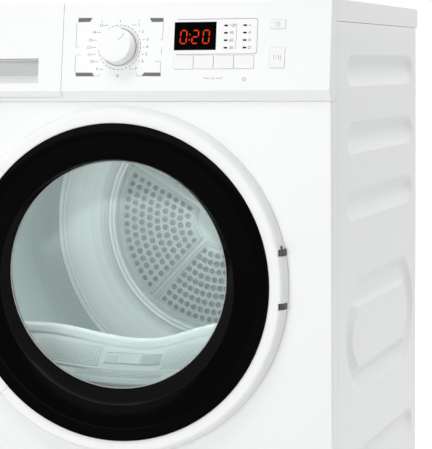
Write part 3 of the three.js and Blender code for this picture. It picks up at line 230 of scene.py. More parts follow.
# dark tone, light tone, limits of the roughness, grain scale, grain depth in metres, and what is unusual
mouldings = {
    "whiteEnamel": ((0.875, 0.88, 0.882), (0.89, 0.895, 0.897), (0.30, 0.40), 420.0, 0.00002, {}),
    "whiteMoulding": ((0.915, 0.92, 0.922), (0.93, 0.935, 0.937), (0.30, 0.40), 700.0, 0.00001, {"gloss": 0.2}),
    "blackGloss": ((0.0012, 0.0012, 0.0013), (0.002, 0.002, 0.0022), (0.05, 0.09), 90.0, 0.000004,
                   {"gloss": 0.012}),
    "bevelBlack": ((0.003, 0.003, 0.0032), (0.005, 0.005, 0.0052), (0.10, 0.16), 300.0, 0.000004, {"gloss": 0.04}),
    # the next tone is dark steel, darkened further to paint the shadow in the door ring's hinge notches
    "darkSteel": ((0.05, 0.052, 0.055), (0.07, 0.072, 0.075), (0.35, 0.5), 500.0, 0.00001, {}),
    "darkWindow": ((0.0008, 0.0008, 0.001), (0.0014, 0.0014, 0.0016), (0.05, 0.1), 120.0, 0.000002,
                   {"gloss": 0.01}),
    "paleMoulding": ((0.58, 0.59, 0.59), (0.62, 0.63, 0.63), (0.38, 0.5), 900.0, 0.00003, {}),
    "buttonWhite": ((0.85, 0.855, 0.858), (0.87, 0.875, 0.878), (0.28, 0.36), 900.0, 0.00001, {}),
    "greyMoulding": ((0.16, 0.17, 0.175), (0.19, 0.2, 0.205), (0.45, 0.6), 800.0, 0.00005, {}),
    "drumSteel": ((0.36, 0.375, 0.37), (0.40, 0.415, 0.41), (0.30, 0.46), 260.0, 0.00003,
                  {"metallic": 0.2, "stretch": (1, 0.2, 1)}),
    "sillMoulding": ((0.45, 0.445, 0.44), (0.49, 0.485, 0.48), (0.07, 0.11), 300.0, 0.00002, {}),
    # the next tone paints the shade seen through the air plate's holes
    "meshShade": ((0.165, 0.185, 0.18), (0.195, 0.215, 0.21), (0.45, 0.6), 700.0, 0.00002, {}),
    # the next tone paints the shade in the sill's mesh holes and in the recess beside its latch
    "meshGrey": ((0.31, 0.32, 0.315), (0.35, 0.36, 0.355), (0.35, 0.5), 700.0, 0.00002, {}),
    "brightSteel": ((0.52, 0.53, 0.54), (0.6, 0.61, 0.62), (0.22, 0.34), 500.0, 0.00002,
                    {"metallic": 0.95, "stretch": (1, 6, 1)}),
    "finMetal": ((0.62, 0.64, 0.65), (0.72, 0.74, 0.75), (0.3, 0.42), 160.0, 0.00008,
                 {"metallic": 0.85, "stretch": (6, 1, 1)}),
    "rubber": ((0.018, 0.018, 0.019), (0.03, 0.03, 0.031), (0.7, 0.85), 500.0, 0.00006, {}),
    "greySeal": ((0.10, 0.105, 0.108), (0.13, 0.135, 0.138), (0.55, 0.7), 500.0, 0.00005, {}),
    "felt": ((0.48, 0.46, 0.41), (0.62, 0.6, 0.55), (0.85, 0.98), 1400.0, 0.0002, {"gloss": 0.1}),
    "lampLens": ((0.7, 0.74, 0.74), (0.8, 0.84, 0.84), (0.2, 0.3), 600.0, 0.00006, {}),
    "circuit": ((0.02, 0.09, 0.04), (0.04, 0.15, 0.07), (0.35, 0.5), 300.0, 0.00003, {}),
    "printGrey": ((0.16, 0.165, 0.17), (0.20, 0.205, 0.21), (0.4, 0.5), 800.0, 0.000004, {}),
    "printDark": ((0.10, 0.105, 0.11), (0.13, 0.135, 0.14), (0.4, 0.5), 800.0, 0.000004, {}),
}
drumTones = {
    # the shell's far tone is painted shade
    "shell": {"near": (0.45, 0.485, 0.48), "far": (0.31, 0.335, 0.33), "rough": (0.34, 0.5), "grain": 260.0,
              "depth": 0.00003, "metallic": 0.2, "ends": (372, 414)},
    # the dish's bright tone and its rings are painted highlights
    "dish": {"dull": (0.46, 0.475, 0.47), "bright": (0.70, 0.715, 0.71), "rough": (0.28, 0.4), "grain": 900.0,
             "depth": 0.000004, "metallic": 0.35, "rings": [  # share of the drum's radius, painted highlight brightness there
                 (0.615, 0.1), (0.629, 0.9), (0.634, 0.9), (0.644, 0.15), (0.653, 0.9), (0.66, 0.9),
                 (0.668, 0.15), (0.695, 0.2), (0.715, 1.0), (0.78, 0.6), (0.86, 0.1), (0.872, 0.7), (0.882, 0.1)]},
}


def plainName(key):  # whiteEnamel gives white_enamel
    return "".join("_" + letter.lower() if letter.isupper() else letter for letter in key)


finishes = {key: moulded(plainName(key), *values, **rest) for key, (*values, rest) in mouldings.items()}
# painted shade on the drum shell, darker towards the back
finishes["shellSteelDepthShade"] = rolled("shell_steel_depth_shade", **drumTones["shell"])
# painted highlight rings for the drum back
finishes["dishSteelRingHighlights"] = dished("dish_steel_ring_highlights", **drumTones["dish"])
finishes["zincSheet"] = spangled("zinc_sheet", (0.42, 0.44, 0.45), (0.52, 0.54, 0.55), 0.36, 110.0)
finishes["doorGlass"] = seeThrough("door_glass", (0.915, 0.96, 0.953), (0.5, 0.56, 0.55), 0.03, 0.02)
finishes["digitGlow"] = glowing("digit_glow", (1.0, 0.05, 0.006), 1.0)
print("finishes ready")


# shapes: lists of points and faces in millimetres
def softened(points, steps=4):  # rounds the corners that carry a radius as their third number
    outline = []
    for i, point in enumerate(points):
        here = Vector(point[:2])
        radius = point[2] if len(point) > 2 else 0
        if radius <= 0:
            outline.append(tuple(here))
            continue
        before = Vector(points[i - 1][:2]) - here
        after = Vector(points[(i + 1) % len(points)][:2]) - here
        half = before.angle(after) / 2
        reach = min(radius / math.tan(half), 0.48 * before.length, 0.48 * after.length)
        before.normalize()
        after.normalize()
        centre = here + (before + after).normalized() * (reach / math.cos(half))
        start = here + before * reach - centre
        end = here + after * reach - centre
        first = math.atan2(start.y, start.x)
        turn = math.remainder(math.atan2(end.y, end.x) - first, math.tau)
        for k in range(steps + 1):
            angle = first + turn * k / steps
            outline.append((centre.x + start.length * math.cos(angle), centre.y + start.length * math.sin(angle)))
    return outline


def joined(*solids):
    points, faces = [], []
    for more, loops in solids:
        faces += [tuple(i + len(points) for i in loop) for loop in loops]
        points += more
    return points, faces


def moved(solid, change):
    return [change(*point) for point in solid[0]], solid[1]


def loft(sections, closed=False):  # a skin from outline to outline, all with the same number of points
    count, rows = len(sections[0]), len(sections)
    points = [point for section in sections for point in section]
    faces = []
    for i in range(rows if closed else rows - 1):
        a, b = i * count, (i + 1) % rows * count
        faces += [(a + k, a + (k + 1) % count, b + (k + 1) % count, b + k) for k in range(count)]
    if not closed:
        faces += [tuple(range(count)), tuple(range((rows - 1) * count, rows * count))]
    return points, faces


def lathe(profile, centre=(0, 0), sides=160, arc=None):  # (radius, y) round an axis that runs front to back
    first, last = arc or (0, 360)
    steps = max(2, round(sides * (last - first) / 360))
    sections = []
    for i in range(steps + 1 if arc else steps):
        angle = math.radians(first + (last - first) * i / steps)
        across, up = math.cos(angle), math.sin(angle)
        sections.append([(centre[0] + r * across, y, centre[1] + r * up) for r, y in profile])
    return loft(sections, not arc)


def prism(outline, axis, low, high):  # an outline in the two other coordinates, drawn along the axis
    def place(u, v, w):
        return {"x": (w, u, v), "y": (u, w, v), "z": (u, v, w)}[axis]

    count = len(outline)
    points = [place(u, v, w) for w in (low, high) for u, v in outline]
    faces = [tuple(range(count)), tuple(range(count, 2 * count))]
    faces += [(i, (i + 1) % count, (i + 1) % count + count, i + count) for i in range(count)]
    return points, faces


def block(x, y, z):
    return prism([(x[0], y[0]), (x[1], y[0]), (x[1], y[1]), (x[0], y[1])], "z", *z)


def rod(axis, centre, radius, low, high, sides=24):
    turn = [math.tau * (i + 0.5) / sides for i in range(sides)]
    outline = [(centre[0] + radius * math.cos(a), centre[1] + radius * math.sin(a)) for a in turn]
    return prism(outline, axis, low, high)


def sweep(path, section, closed=False):  # a section (sideways, forwards) along a path of (x, y, z)
    sections = []
    for i, (x, y, z) in enumerate(path):
        before = path[i - 1] if closed or i else path[i]
        after = path[(i + 1) % len(path)] if closed or i + 1 < len(path) else path[i]
        along = Vector((after[0] - before[0], after[2] - before[2])).normalized()
        sections.append([(x - along.y * u, y - v, z + along.x * u) for u, v in section])
    return loft(sections, closed)


def polar(radius, degrees, centre=(0, 0)):
    angle = math.radians(degrees)
    return centre[0] + radius * math.cos(angle), centre[1] + radius * math.sin(angle)


def cleanMesh(name, solid):
    mesh = bpy.data.meshes.new(name)
    mesh.from_pydata([at(*point) for point in solid[0]], [], solid[1])
    shell = bmesh.new()
    shell.from_mesh(mesh)
    bmesh.ops.remove_doubles(shell, verts=shell.verts, dist=1e-6)
    bmesh.ops.dissolve_degenerate(shell, edges=shell.edges, dist=1e-6)
    bmesh.ops.recalc_face_normals(shell, faces=shell.faces)
    shell.to_mesh(mesh)
    shell.free()
    return mesh


def settle(piece):  # works the modifiers into the mesh
    result = bpy.data.meshes.new_from_object(piece.evaluated_get(bpy.context.evaluated_depsgraph_get()))
    piece.modifiers.clear()
    piece.data = result


def addObject(name, mesh):
    made = bpy.data.objects.new(name, mesh)
    bpy.context.scene.collection.objects.link(made)
    return made


def make(name, solid, finish, body, stands=(), cuts=(), bevel=0, rim=0, steps=2, crease=35):
    piece = addObject(name, cleanMesh(name, solid))

    def breakEdges(width):
        edge = piece.modifiers.new("edge", "BEVEL")
        edge.width = width * mm
        edge.segments = steps
        edge.limit_method = "ANGLE"
        edge.angle_limit = math.radians(crease)
        settle(piece)

    if bevel:
        breakEdges(bevel)
    for cutter in cuts:
        tool = addObject("cutter", cleanMesh("cutter", cutter))
        carve = piece.modifiers.new("carve", "BOOLEAN")
        carve.object = tool
        carve.solver = "EXACT"
        settle(piece)
        bpy.data.objects.remove(tool)
    if rim:
        breakEdges(rim)
    piece.data.shade_smooth()
    piece.data.set_sharp_from_angle(angle=math.radians(crease))
    if bevel or rim or cuts:
        flat = piece.modifiers.new("flat", "WEIGHTED_NORMAL")
        flat.keep_sharp = True
        settle(piece)
    piece.data.materials.clear()
    piece.data.materials.append(finishes[finish])
    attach(piece, body)
    if stands:
        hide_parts(*stands)
    return piece


# cabinet
trough = {"depth": 7.2, "drafts": (10.0, 30.0), "half": 22.0, "bulge": 20.0, "ends": (109.0, 524.0),
          "heights": (284.0, 191.5, 99.0, -270.5, -363.0)}
ringTrough = {"ends": (150.0, 480.0), "heights": (-170.0, -3.0), "bulge": 70.0}
ringIsland = {"ends": (160.0, 466.0), "heights": (-130.0, -47.0), "bulge": 40.0}
ringWalls = {"outer": (20, 24), "inner": (13, 24)}  # widths above and below, and towards the front and back
panelSheet = {"roll": 1.6, "fold": 6.0, "thick": 1.0, "bend": ((1.0, 0.12), (0.47, 0.47), (0.12, 1.0))}
panelSteps = ((78, 12), (168, 2.6), (460, 14), (552, 2.6), (None, 8))  # where each part ends, and its grid


def inside(y, z, ends, heights, bulge):  # how far in from a bulging outline, in height and in depth
    z0, z1 = heights
    t = min(1.0, max(0.0, (z - z0) / (z1 - z0)))
    swell = bulge * (1 - (2 * t - 1) ** 2)
    slope = 4 * bulge * (2 * t - 1) / (z1 - z0)
    across = min(y - ends[0] + swell, ends[1] + swell - y) / math.hypot(1, slope)
    return min(z - z0, z1 - z), across


def rounded(distance, reach):  # 0 at the outline, 1 once the wall is down
    share = min(1.0, max(0.0, distance / reach))
    return 1 - (1 - share) ** 2


def troughDepth(y, z):
    depth = 0.0
    for middle in trough["heights"]:
        heights = (middle - trough["half"], middle + trough["half"])
        high, across = inside(y, z, trough["ends"], heights, trough["bulge"])
        draft = trough["drafts"][y > sum(trough["ends"]) / 2]
        depth = max(depth, rounded(high, trough["half"]) * rounded(across, draft))
    high, across = inside(y, z, ringTrough["ends"], ringTrough["heights"], ringTrough["bulge"])
    outer = rounded(high, ringWalls["outer"][0]) * rounded(across, ringWalls["outer"][1])
    high, across = inside(y, z, ringIsland["ends"], ringIsland["heights"], ringIsland["bulge"])
    inner = max(rounded(-high, ringWalls["inner"][0]), rounded(-across, ringWalls["inner"][1]))
    return trough["depth"] * max(depth, outer * inner)


def spread(low, high, pitch):
    count = max(1, round((high - low) / pitch))
    return [low + (high - low) * i / count for i in range(count)]


def makeSidePanel(name, side):
    y, z = span(name)[1:]
    roll = panelSheet["roll"]
    bend = [*panelSheet["bend"], (0, roll), (0, panelSheet["fold"])]  # from the flat, round the edge and in
    columns = [(y[0] + a, b) for a, b in bend[::-1]]
    low = y[0] + roll
    for high, pitch in panelSteps:
        high = high or y[1] - roll
        columns += [(v, 0) for v in spread(low, high, pitch)]
        low = high
    columns += [(low, 0)] + [(y[1] - a, b) for a, b in bend]
    levels = [z[0]]
    marks = [(middle - trough["half"], middle + trough["half"]) for middle in trough["heights"]]
    for low, high in sorted(marks + [ringTrough["heights"]]):
        levels += spread(levels[-1], low - 0.4, 24)[1:] + [low - 0.4] + spread(low, high, 2.2)
        levels += [high, high + 0.4]
    levels += spread(levels[-1], z[1] - roll, 16)[1:] + [z[1] - roll]
    rows = [(v, 0) for v in levels] + [(z[1] - a, b) for a, b in bend]
    points, faces = [], []
    for height, lean in rows:
        for depth, turn in columns:
            flat = lean == 0 and turn == 0
            sink = troughDepth(depth, height) if flat else max(lean, turn)
            points.append((side * (halfWidth - sink), depth, height))
    wide = len(columns)
    for i in range(len(rows) - 1):
        for j in range(wide - 1):
            a = i * wide + j
            faces.append((a, a + 1, a + wide + 1, a + wide))
    piece = make(name, (points, faces), "whiteEnamel", "cabinet", [name], crease=60)
    sheet = piece.modifiers.new("sheet", "SOLIDIFY")
    sheet.thickness = panelSheet["thick"] * mm
    sheet.offset = -1.0 if piece.data.polygons[len(faces) // 2].normal.x * side > 0 else 1.0
    settle(piece)


def makeCabinet():
    for name, side in (("side_panel_left", -1), ("side_panel_right", 1)):
        makeSidePanel(name, side)
    x, y, z = span("top_plate")
    outline = softened([(y[0], z[0]), (y[1], z[0], 2.5), (y[1], z[1], 5), (y[0], z[1], 0.8)])
    make("top_plate", prism(outline, "x", *x), "whiteMoulding", "cabinet", ["top_plate"],
         bevel=1.6, steps=3)
    print("cabinet sides and top")


front = {"sheet": 1.2, "corner": 3.2, "mouth": 212.0, "lip": 7.0, "lock": (-229, -215)}
hinge = {"x": 230.5, "ears": (45.0, -26.5), "ear": 8.4, "slot": 4.5}
flap = {"side": 2.6, "gap": 1.0, "lip": 2.5, "notch": (40, 80)}


def makeFront():
    x, y, z = span("front_panel")
    sheet, corner = front["sheet"], front["corner"]
    outline = softened([
        (x[0], y[1]), (x[0], y[0], corner), (x[1], y[0], corner), (x[1], y[1]), (x[1] - sheet, y[1]),
        (x[1] - sheet, y[0] + sheet, corner - sheet), (x[0] + sheet, y[0] + sheet, corner - sheet),
        (x[0] + sheet, y[1]),
    ], 6)
    (flapLeft, flapRight), _, (flapLow, flapHigh) = span("service_flap")
    edge, gap, slot, mouth = flap["side"] - flap["gap"], flap["gap"], hinge["slot"], front["mouth"]
    ears = [block((hinge["x"] - slot, hinge["x"] + slot), (-2, 3), (e - slot, e + slot)) for e in hinge["ears"]]
    make("front_panel", prism(outline, "z", *z), "whiteEnamel", "cabinet", ["front_panel"], [
        rod("y", (0, 0), mouth, -2, 4, 192),
        block((flapLeft + edge, flapRight - edge), (-2, 4), (flapLow - gap, flapHigh + gap)),
        joined(*ears, block(front["lock"], (-2, 3), (-12, 12))),
    ], rim=0.45)
    rim = softened([
        (mouth - 0.1, 0.2, 1.2), (mouth + 3, 0.2), (mouth + 3, 1.2), (mouth + 1.1, 1.2, 1),
        (mouth + 1.1, front["lip"]), (mouth - 0.1, front["lip"]),
    ])
    make("front_mouth_rim", lathe(rim, sides=192), "whiteEnamel", "cabinet")
    print("front sheet")


# control fascia
fascia = {"wall": 3.0, "brow": 14.5, "chin": 11, "crown": 5.0, "drawerX": -76.5, "drawerZ": 251.0, "knobX": 5.0,
          "knobZ": 318.0}
faceX, faceSpanY, faceSpanZ = span("control_panel")
browZ = faceSpanZ[0] + fascia["brow"]
browY, chinY = faceSpanY[0], faceSpanY[0] + fascia["chin"]
tilt = math.atan2(fascia["crown"] - browY, faceSpanZ[1] - browZ)


def faceY(z):
    return browY + (z - browZ) * math.tan(tilt)


def onFace(x, depth, height):  # the tilted face's own frame: depth behind it, height above the knob's centre
    y = faceY(fascia["knobZ"]) + depth * math.cos(tilt) + height * math.sin(tilt)
    return x, y, fascia["knobZ"] - depth * math.sin(tilt) + height * math.cos(tilt)


def high(z):
    return (z - fascia["knobZ"]) / math.cos(tilt)


def fasciaOutline(low, corner):  # from the crown down the face, over the brow and in to the chin
    rear, top = faceSpanY[1], faceSpanZ[1]
    lowY = browY + (browZ - low) / fascia["brow"] * (chinY - browY)
    crown, brow = (faceY(top), top, 4), (browY, browZ, 2.2)
    return softened([(rear, top, 0.6), crown, brow, (lowY, low, corner), (rear, low)])


def pad(x, z, depths, radius, grow=0.0):  # a round-cornered block on the face
    (x0, x1), (z0, z1) = (x[0] - grow, x[1] + grow), (high(z[0]) - grow, high(z[1]) + grow)
    outline = softened([(x0, z0, radius), (x1, z0, radius), (x1, z1, radius), (x0, z1, radius)])
    return moved(prism(outline, "y", *depths), onFace)


optionRow = {"left": 82.7, "right": 110, "pitch": 28, "z": (288.2, 305.9)}
buttons = {  # the body that it rides, its left and right, its low and high edge
    **{f"option_button_{i + 1}": (f"button_{i + 1}", (optionRow["left"] + optionRow["pitch"] * i,
                                  optionRow["right"] + optionRow["pitch"] * i), optionRow["z"]) for i in range(4)},
    "power_button": ("button_power", (215.3, 235.8), (340.1, 352.5)),
    "start_button": ("button_start", (214.9, 236.1), (288.9, 316.0)),
}
display = {"x": (82.3, 140.6), "z": (313.3, 350.6)}
lamps = {"columns": (154.0, 180.2), "rows": (345.5, 335.7, 325.9, 316.0), "size": (4.8, 2.1)}
lampWide, lampTall = lamps["size"]
lampPads = [((x - lampWide / 2, x + lampWide / 2), (z - lampTall / 2, z + lampTall / 2))
            for x in lamps["columns"] for z in lamps["rows"]]


def makeFascia():
    wall, left, top, through = fascia["wall"], fascia["drawerX"], faceSpanZ[1], (-6, 12)
    hollow = [(60, top - wall), (faceY(top) + wall, top - wall), (browY + wall, browZ),
              (chinY + wall, faceSpanZ[0] + wall), (60, faceSpanZ[0] + wall)]
    make("control_panel", prism(fasciaOutline(faceSpanZ[0], 1.0), "x", *faceX), "whiteMoulding", "cabinet",
         ["control_panel"], [
        block((faceX[0] - 2, left), (-40, 60), (fascia["drawerZ"], top + 2)),
        prism(hollow, "x", left + wall, faceX[1] - wall),
        joined(*[pad(x, z, through, 1.4, 0.28) for _, x, z in buttons.values()]),
        joined(pad(display["x"], display["z"], through, 0.8, 0.15),
               *[pad(x, z, through, 0.3, 0.1) for x, z in lampPads]),
        moved(rod("y", (fascia["knobX"], 0), 8, *through), onFace),
    ], bevel=1.1, steps=3)
    print("fascia")


grip = {"x": (-263, -111), "mouth": (304.5, 270), "pocket": (302, 279), "rear": 14, "wall": 2}


def makeDrawerFront():
    dx, _, (low, top) = span("drawer_front")
    wall, rear, back = fascia["wall"], grip["rear"], grip["rear"] + grip["wall"]
    (left, right), (mouthTop, mouthLow), (roof, floor) = grip["x"], grip["mouth"], grip["pocket"]
    faceTop, faceLow = faceY(mouthTop), faceY(mouthLow)
    pocket = softened([
        (-40, mouthTop + 5), (faceTop - 2, mouthTop + 1), (faceTop + 3, roof, 1.5), (rear, roof, 3),
        (rear, floor, 6), (faceLow - 1, mouthLow, 3), (-40, mouthLow - 8),
    ])
    hollow = [
        (60, low + wall), (60, top - wall), (faceY(top) + wall, top - wall), (faceTop + wall, roof + 2),
        (back, roof + 2), (back, mouthLow - 5), (faceLow + wall, mouthLow - 5), (browY + wall, browZ),
        (chinY + wall, low + wall),
    ]
    cuts = [prism(hollow, "x", dx[0] + wall, dx[1] - wall), prism(pocket, "x", left, right)]
    make("drawer_front", prism(fasciaOutline(low, 0.8), "x", *dx), "whiteMoulding", "water_drawer",
         ["drawer_front"], cuts, bevel=1.1, rim=0.3, steps=3)
    lip = faceTop + 0.6
    # a grey sheet on the pocket's roof and back paints the shade inside the grip; its lit floor stays white
    pocketShade = [(lip + 3, roof), (rear - 0.1, roof), (rear - 0.1, floor + 1), (rear - 1.2, floor + 2),
             (rear - 1.2, roof - 1), (lip + 3, roof - 1)]
    make("grip_pocket_shade", prism(pocketShade, "x", left + 0.1, right - 0.1), "paleMoulding", "water_drawer",
         bevel=0.2)
    # a black strip paints the shadow line under the grip's top edge
    make("grip_shadow", block((left + 1, right - 1), (lip, lip + 2.4), (mouthTop - 1.6, mouthTop + 0.2)), "rubber",
         "water_drawer", bevel=0.2)
    print("drawer front")


knob = {"hub": 8.5, "tip": 20.8, "turn": 47, "face": -22.15, "gap": (24.85, 25.35)}  # pointer's ends, cap, gap
knobProfile = [
    (0, -1.2), (26.4, -0.9, 0.4), (27, -1.6, 0.6), (27, -2.8, 0.8), (25.8, -4.0, 0.4), (25.4, -2.4), (24.8, -2.4),
    (24.6, -4.4, 0.4), (24.2, -7, 2), (23.6, -20.1), (22.4, -22.0, 1.4), (20.5, knob["face"]), (0, knob["face"]),
]


def makeControls():
    for node, (body, x, z) in buttons.items():
        make(node, pad(x, z, (-1.0, 3.4), 1.2), "buttonWhite", body, [node], bevel=0.5)
    make("display_window", pad(display["x"], display["z"], (0.15, 3), 0.7), "darkWindow", "cabinet",
         ["display_window"], bevel=0.1)
    make("light_guide", joined(*[pad(x, z, (0.1, 4), 0.25) for x, z in lampPads]), "darkWindow", "cabinet",
         ["light_guide"])
    centre = (fascia["knobX"], 0)

    def pointer(depth, half, front, rear):
        ends = [polar(radius, knob["turn"], centre) for radius in (knob["hub"], knob["tip"])]
        section = [(-half, front), (half, front), (half, rear), (-half, rear)]
        return moved(sweep([(x, depth, z) for x, z in ends], section), onFace)

    make("program_knob", moved(lathe(softened(knobProfile), centre, 128), onFace), "whiteMoulding", "knob",
         ["program_knob"], [pointer(knob["face"], 0.32, 0.5, -0.35)], crease=50)
    make("knob_pointer", pointer(knob["face"] + 0.3, 0.3, 0.08, -0.3), "printGrey", "knob")
    inner, outer = knob["gap"]
    ring = lathe([(inner, -1.9), (outer, -1.9), (outer, -3.3), (inner, -3.3)], centre, 96)
    make("knob_gap", moved(ring, onFace), "greyMoulding", "knob")
    print("controls")


def stroke(path, width, lift=0.05, closed=False):  # printed line on the face, made wide enough to be seen
    half = width * 0.66
    return sweep(path, [(-half, lift), (half, lift), (half, -0.2), (-half, -0.2)], closed)


def line(points, width, lift=0.05):
    return stroke([(x, 0, high(z)) for x, z in points], width, lift)


def numeral(text, x, z, size, align="CENTER"):
    letters = bpy.data.curves.new("numeral", "FONT")
    letters.body = text
    letters.size = size * 1.3
    letters.offset = 0.05
    letters.align_x = align
    letters.align_y = "CENTER"
    letters.extrude = 0.12
    letters.resolution_u = 3
    holder = addObject("numeral", letters)
    mesh = bpy.data.meshes.new_from_object(holder.evaluated_get(bpy.context.evaluated_depsgraph_get()))
    points = [(x + p.co.x, -p.co.z + 0.07, high(z) + p.co.y) for p in mesh.vertices]
    faces = [tuple(face.vertices) for face in mesh.polygons]
    bpy.data.objects.remove(holder)
    return points, faces


def ringLine(x, z, radius, width, first=0, last=360, steps=24):
    turns = [first + (last - first) * i / steps for i in range(steps + (last - first < 360))]
    path = [(x + polar(radius, a)[0], 0, high(z) + polar(radius, a)[1]) for a in turns]
    return stroke(path, width, closed=last - first >= 360)


def slab(points):  # printed filled area
    return prism([(x, high(z)) for x, z in points], "y", -0.05, 0.2)


dial = {"rows": (29.8, 20.6, 9.9, 0.1, -9.5, -18.8, -29.2), "ring": 30.2, "dashes": 32,
        "left": (23.5, 34, 39, 40.5, 39.4, 35.4, 27.7), "right": (23.5, 29, 36.5, 36, 35.2, 30.5, 21)}
brackets = [  # thin angle lines round the dial
    [(-57.5, 352), (-57.5, 318.5), (-53.5, 318.5)], [(-50.5, 308.4), (-57.5, 308.4), (-57.5, 285.2)],
    [(66, 351), (66, 327.6), (62.5, 327.6)], [(65, 317.6), (65, 308.6)],
    [(56.5, 298.4), (64.5, 298.4), (64.5, 284.4)],
    [(-29.5, 279.7), (-22.5, 279.7), (-22.3, 283.4)], [(38.5, 279.5), (30.5, 279.5), (30.3, 283.2)],
    [(-21, 352), (-21, 355)], [(32, 352), (32, 355)],
]
tags = [  # dark filled areas at the dial's corners
    [(-56.2, 279.4), (-29.4, 279.2), (-32.6, 284.2), (-56.6, 284.4)],
    [(65.1, 278.8), (38.2, 279.2), (41.6, 284.0), (65.2, 283.8)],
    [(-55.5, 358.3), (-35.4, 358.2), (-38.4, 352.8), (-55.9, 352.6)],
    [(46.7, 356.9), (66.2, 356.7), (66.0, 351.4), (49.6, 351.6)],
]
windowFrame = {"left": 85.8, "right": 197.4, "top": 354.3, "low": 307.7, "corner": 4, "line": 0.5}
lampMarks = {"numbers": ("120", "90", "60", "30"), "numberX": 159.2, "signX": 187, "sides": (3, 4, 6, 24)}
startMark = [([(221, 305.6), (221, 299.4), (225.6, 302.5), (221, 305.6)], 0.3),
             ([(228, 305.4), (228, 299.6)], 0.4), ([(230.4, 305.4), (230.4, 299.6)], 0.4)]


def dialPrint():
    kx, kz, ring = fascia["knobX"], fascia["knobZ"], dial["ring"]
    marks = []
    for row, height in enumerate(dial["rows"]):
        reach = math.sqrt(max(0.0, (ring + 2) ** 2 - height ** 2))
        for side, ends in ((-1, dial["left"]), (1, dial["right"])):
            start, end, z = max(reach, ends[row] - 8) + 1.2, ends[row], kz + height
            if start < end:
                marks.append(line([(kx + side * start, z), (kx + side * end, z)], 0.45))
            number = row + 1 if side > 0 else 15 - row
            marks.append(numeral(str(number), kx + side * (end + 3.4), z, 4.4))
    marks.append(line([(kx, kz + 33.5), (kx, kz + 37)], 0.5))
    marks.append(numeral("0", kx - 1, kz - 38.4, 4.6))
    for step in range(dial["dashes"]):
        turn = step * 360 / dial["dashes"] + 5.6
        marks.append(ringLine(kx, kz, ring, 0.6, turn, turn + 7.6, 3))
    return marks


def windowPrint():
    sides = ("left", "right", "top", "low", "corner", "line")
    left, right, top, low, radius, width = (windowFrame[side] for side in sides)
    corner = [polar(radius, a, (right - radius, top - radius)) for a in (90, 67, 45, 22, 0)]
    floor = [(x, top + low - z) for x, z in corner[::-1]]
    marks = [line([(left, top)] + corner + floor + [(left, low)], width)]
    marks.append(line([(168.8, 348.2), (168.2, 313.8)], 0.35))
    for z, text, sides in zip(lamps["rows"], lampMarks["numbers"], lampMarks["sides"]):
        marks.append(numeral(text, lampMarks["numberX"], z, 4.2, "LEFT"))
        marks.append(ringLine(lampMarks["signX"], z, 1.7, 0.55, 90, 450, sides))
    marks.append(ringLine(181.2, 274.4, 2.0, 0.5))
    marks.append(line([(125.5, 277), (127.5, 275.6), (134.5, 275.6)], 0.45))
    marks.append(line([(142.5, 275.6), (149.5, 275.6), (151.5, 277)], 0.45))
    marks.append(ringLine(138.5, 275.4, 1.9, 0.5, 90, 450, 3))
    return marks


def makePrint():
    thin = dialPrint() + [line(points, 0.4) for points in brackets] + windowPrint()
    make("panel_lines", moved(joined(*thin), onFace), "printGrey", "cabinet")
    dark = joined(*[slab(points) for points in tags])
    make("panel_tags", moved(dark, onFace), "printDark", "cabinet")
    start = [line(points, width, 1.04) for points, width in startMark]
    make("start_mark", moved(joined(*start), onFace), "printGrey", "button_start")
    power = [ringLine(225.6, 346.2, 2.6, 0.35, 120, 420, 20), line([(225.6, 349.4), (225.6, 346.6)], 0.4)]
    raised = moved(joined(*power), lambda x, y, z: (x, y - 0.98, z))  # the cap stands 1 mm proud of the face
    make("power_mark", moved(raised, onFace), "printGrey", "button_power")
    print("print")


digits = {"wide": 8.3, "low": 322.2, "top": 339.4, "thick": 1.55, "lean": 0.07, "gap": 0.75,
          "colon": (334.1, 327.0), "colonX": 103.1, "dot": 0.9,
          "lit": ((90.4, "abcdef"), (106.8, "abged"), (121.9, "abcdef"))}


def makeDigits():
    wide, low, top, lean, dot = (digits[key] for key in ("wide", "low", "top", "lean", "dot"))
    half, middle = digits["thick"] / 2, (low + top) / 2
    bars = {
        "a": (0, top, wide, top), "b": (wide, middle, wide, top), "c": (wide, low, wide, middle),
        "d": (0, low, wide, low), "e": (0, low, 0, middle), "f": (0, middle, 0, top),
        "g": (0, middle, wide, middle),
    }

    def segment(ax, az, bx, bz):
        along = Vector((bx - ax, bz - az)).normalized()
        side = Vector((-along.y, along.x))
        a, b = Vector((ax, az)) + along * digits["gap"], Vector((bx, bz)) - along * digits["gap"]
        return [a, a + (along + side) * half, b + (side - along) * half, b, b - (along + side) * half,
                a + (along - side) * half]

    solids = []
    for start, lit in digits["lit"]:
        for name in lit:
            points = [(start + px + (pz - low) * lean, high(pz)) for px, pz in segment(*bars[name])]
            solids.append(prism(points, "y", 0.02, 0.6))
    for z in digits["colon"]:
        x = digits["colonX"] + (z - low) * lean
        corners = ((-dot, -dot), (dot, -dot), (dot, dot), (-dot, dot))
        solids.append(prism([(x + u, high(z) + v) for u, v in corners], "y", 0.02, 0.6))
    make("display_digits", moved(joined(*solids), onFace), "digitGlow", "cabinet")
    print("digits")


# door
door = {"inner": 216.3, "outer": 238.4, "front": -20.0, "back": -0.8, "sector": (137.0, 223.0),
        "finger": (164.0, 196.0)}
glass = {"middle": 10.0, "rim": 172.6, "front": -10.0, "thick": 5.0, "lean": (158.0, 167.0),
         "bowl": ((154, -10), (151, -1.6), (139, 29.9), (104, 67.7), (54, 89.75), (0, 95))}
# radius and depth of the rings between the white ring and the glass, with the rounding of each corner
blackRing = [(215.9, door["back"]), (215.9, -22.5, 0.6), (215.2, -23, 0.6), (200.2, -22.6, 1.5),
             (198.4, -22.0, 1.5), (168.4, -19.9, 0.8), (168.0, -19.2), (212, -19.0), (212, door["back"])]
windowBevel = [(168.0, -19.8), (167.0, -19.7, 0.6), (155.2, -12.1, 0.6), (155.4, -11.2), (157.4, -10.4),
               (168.0, -16.4)]
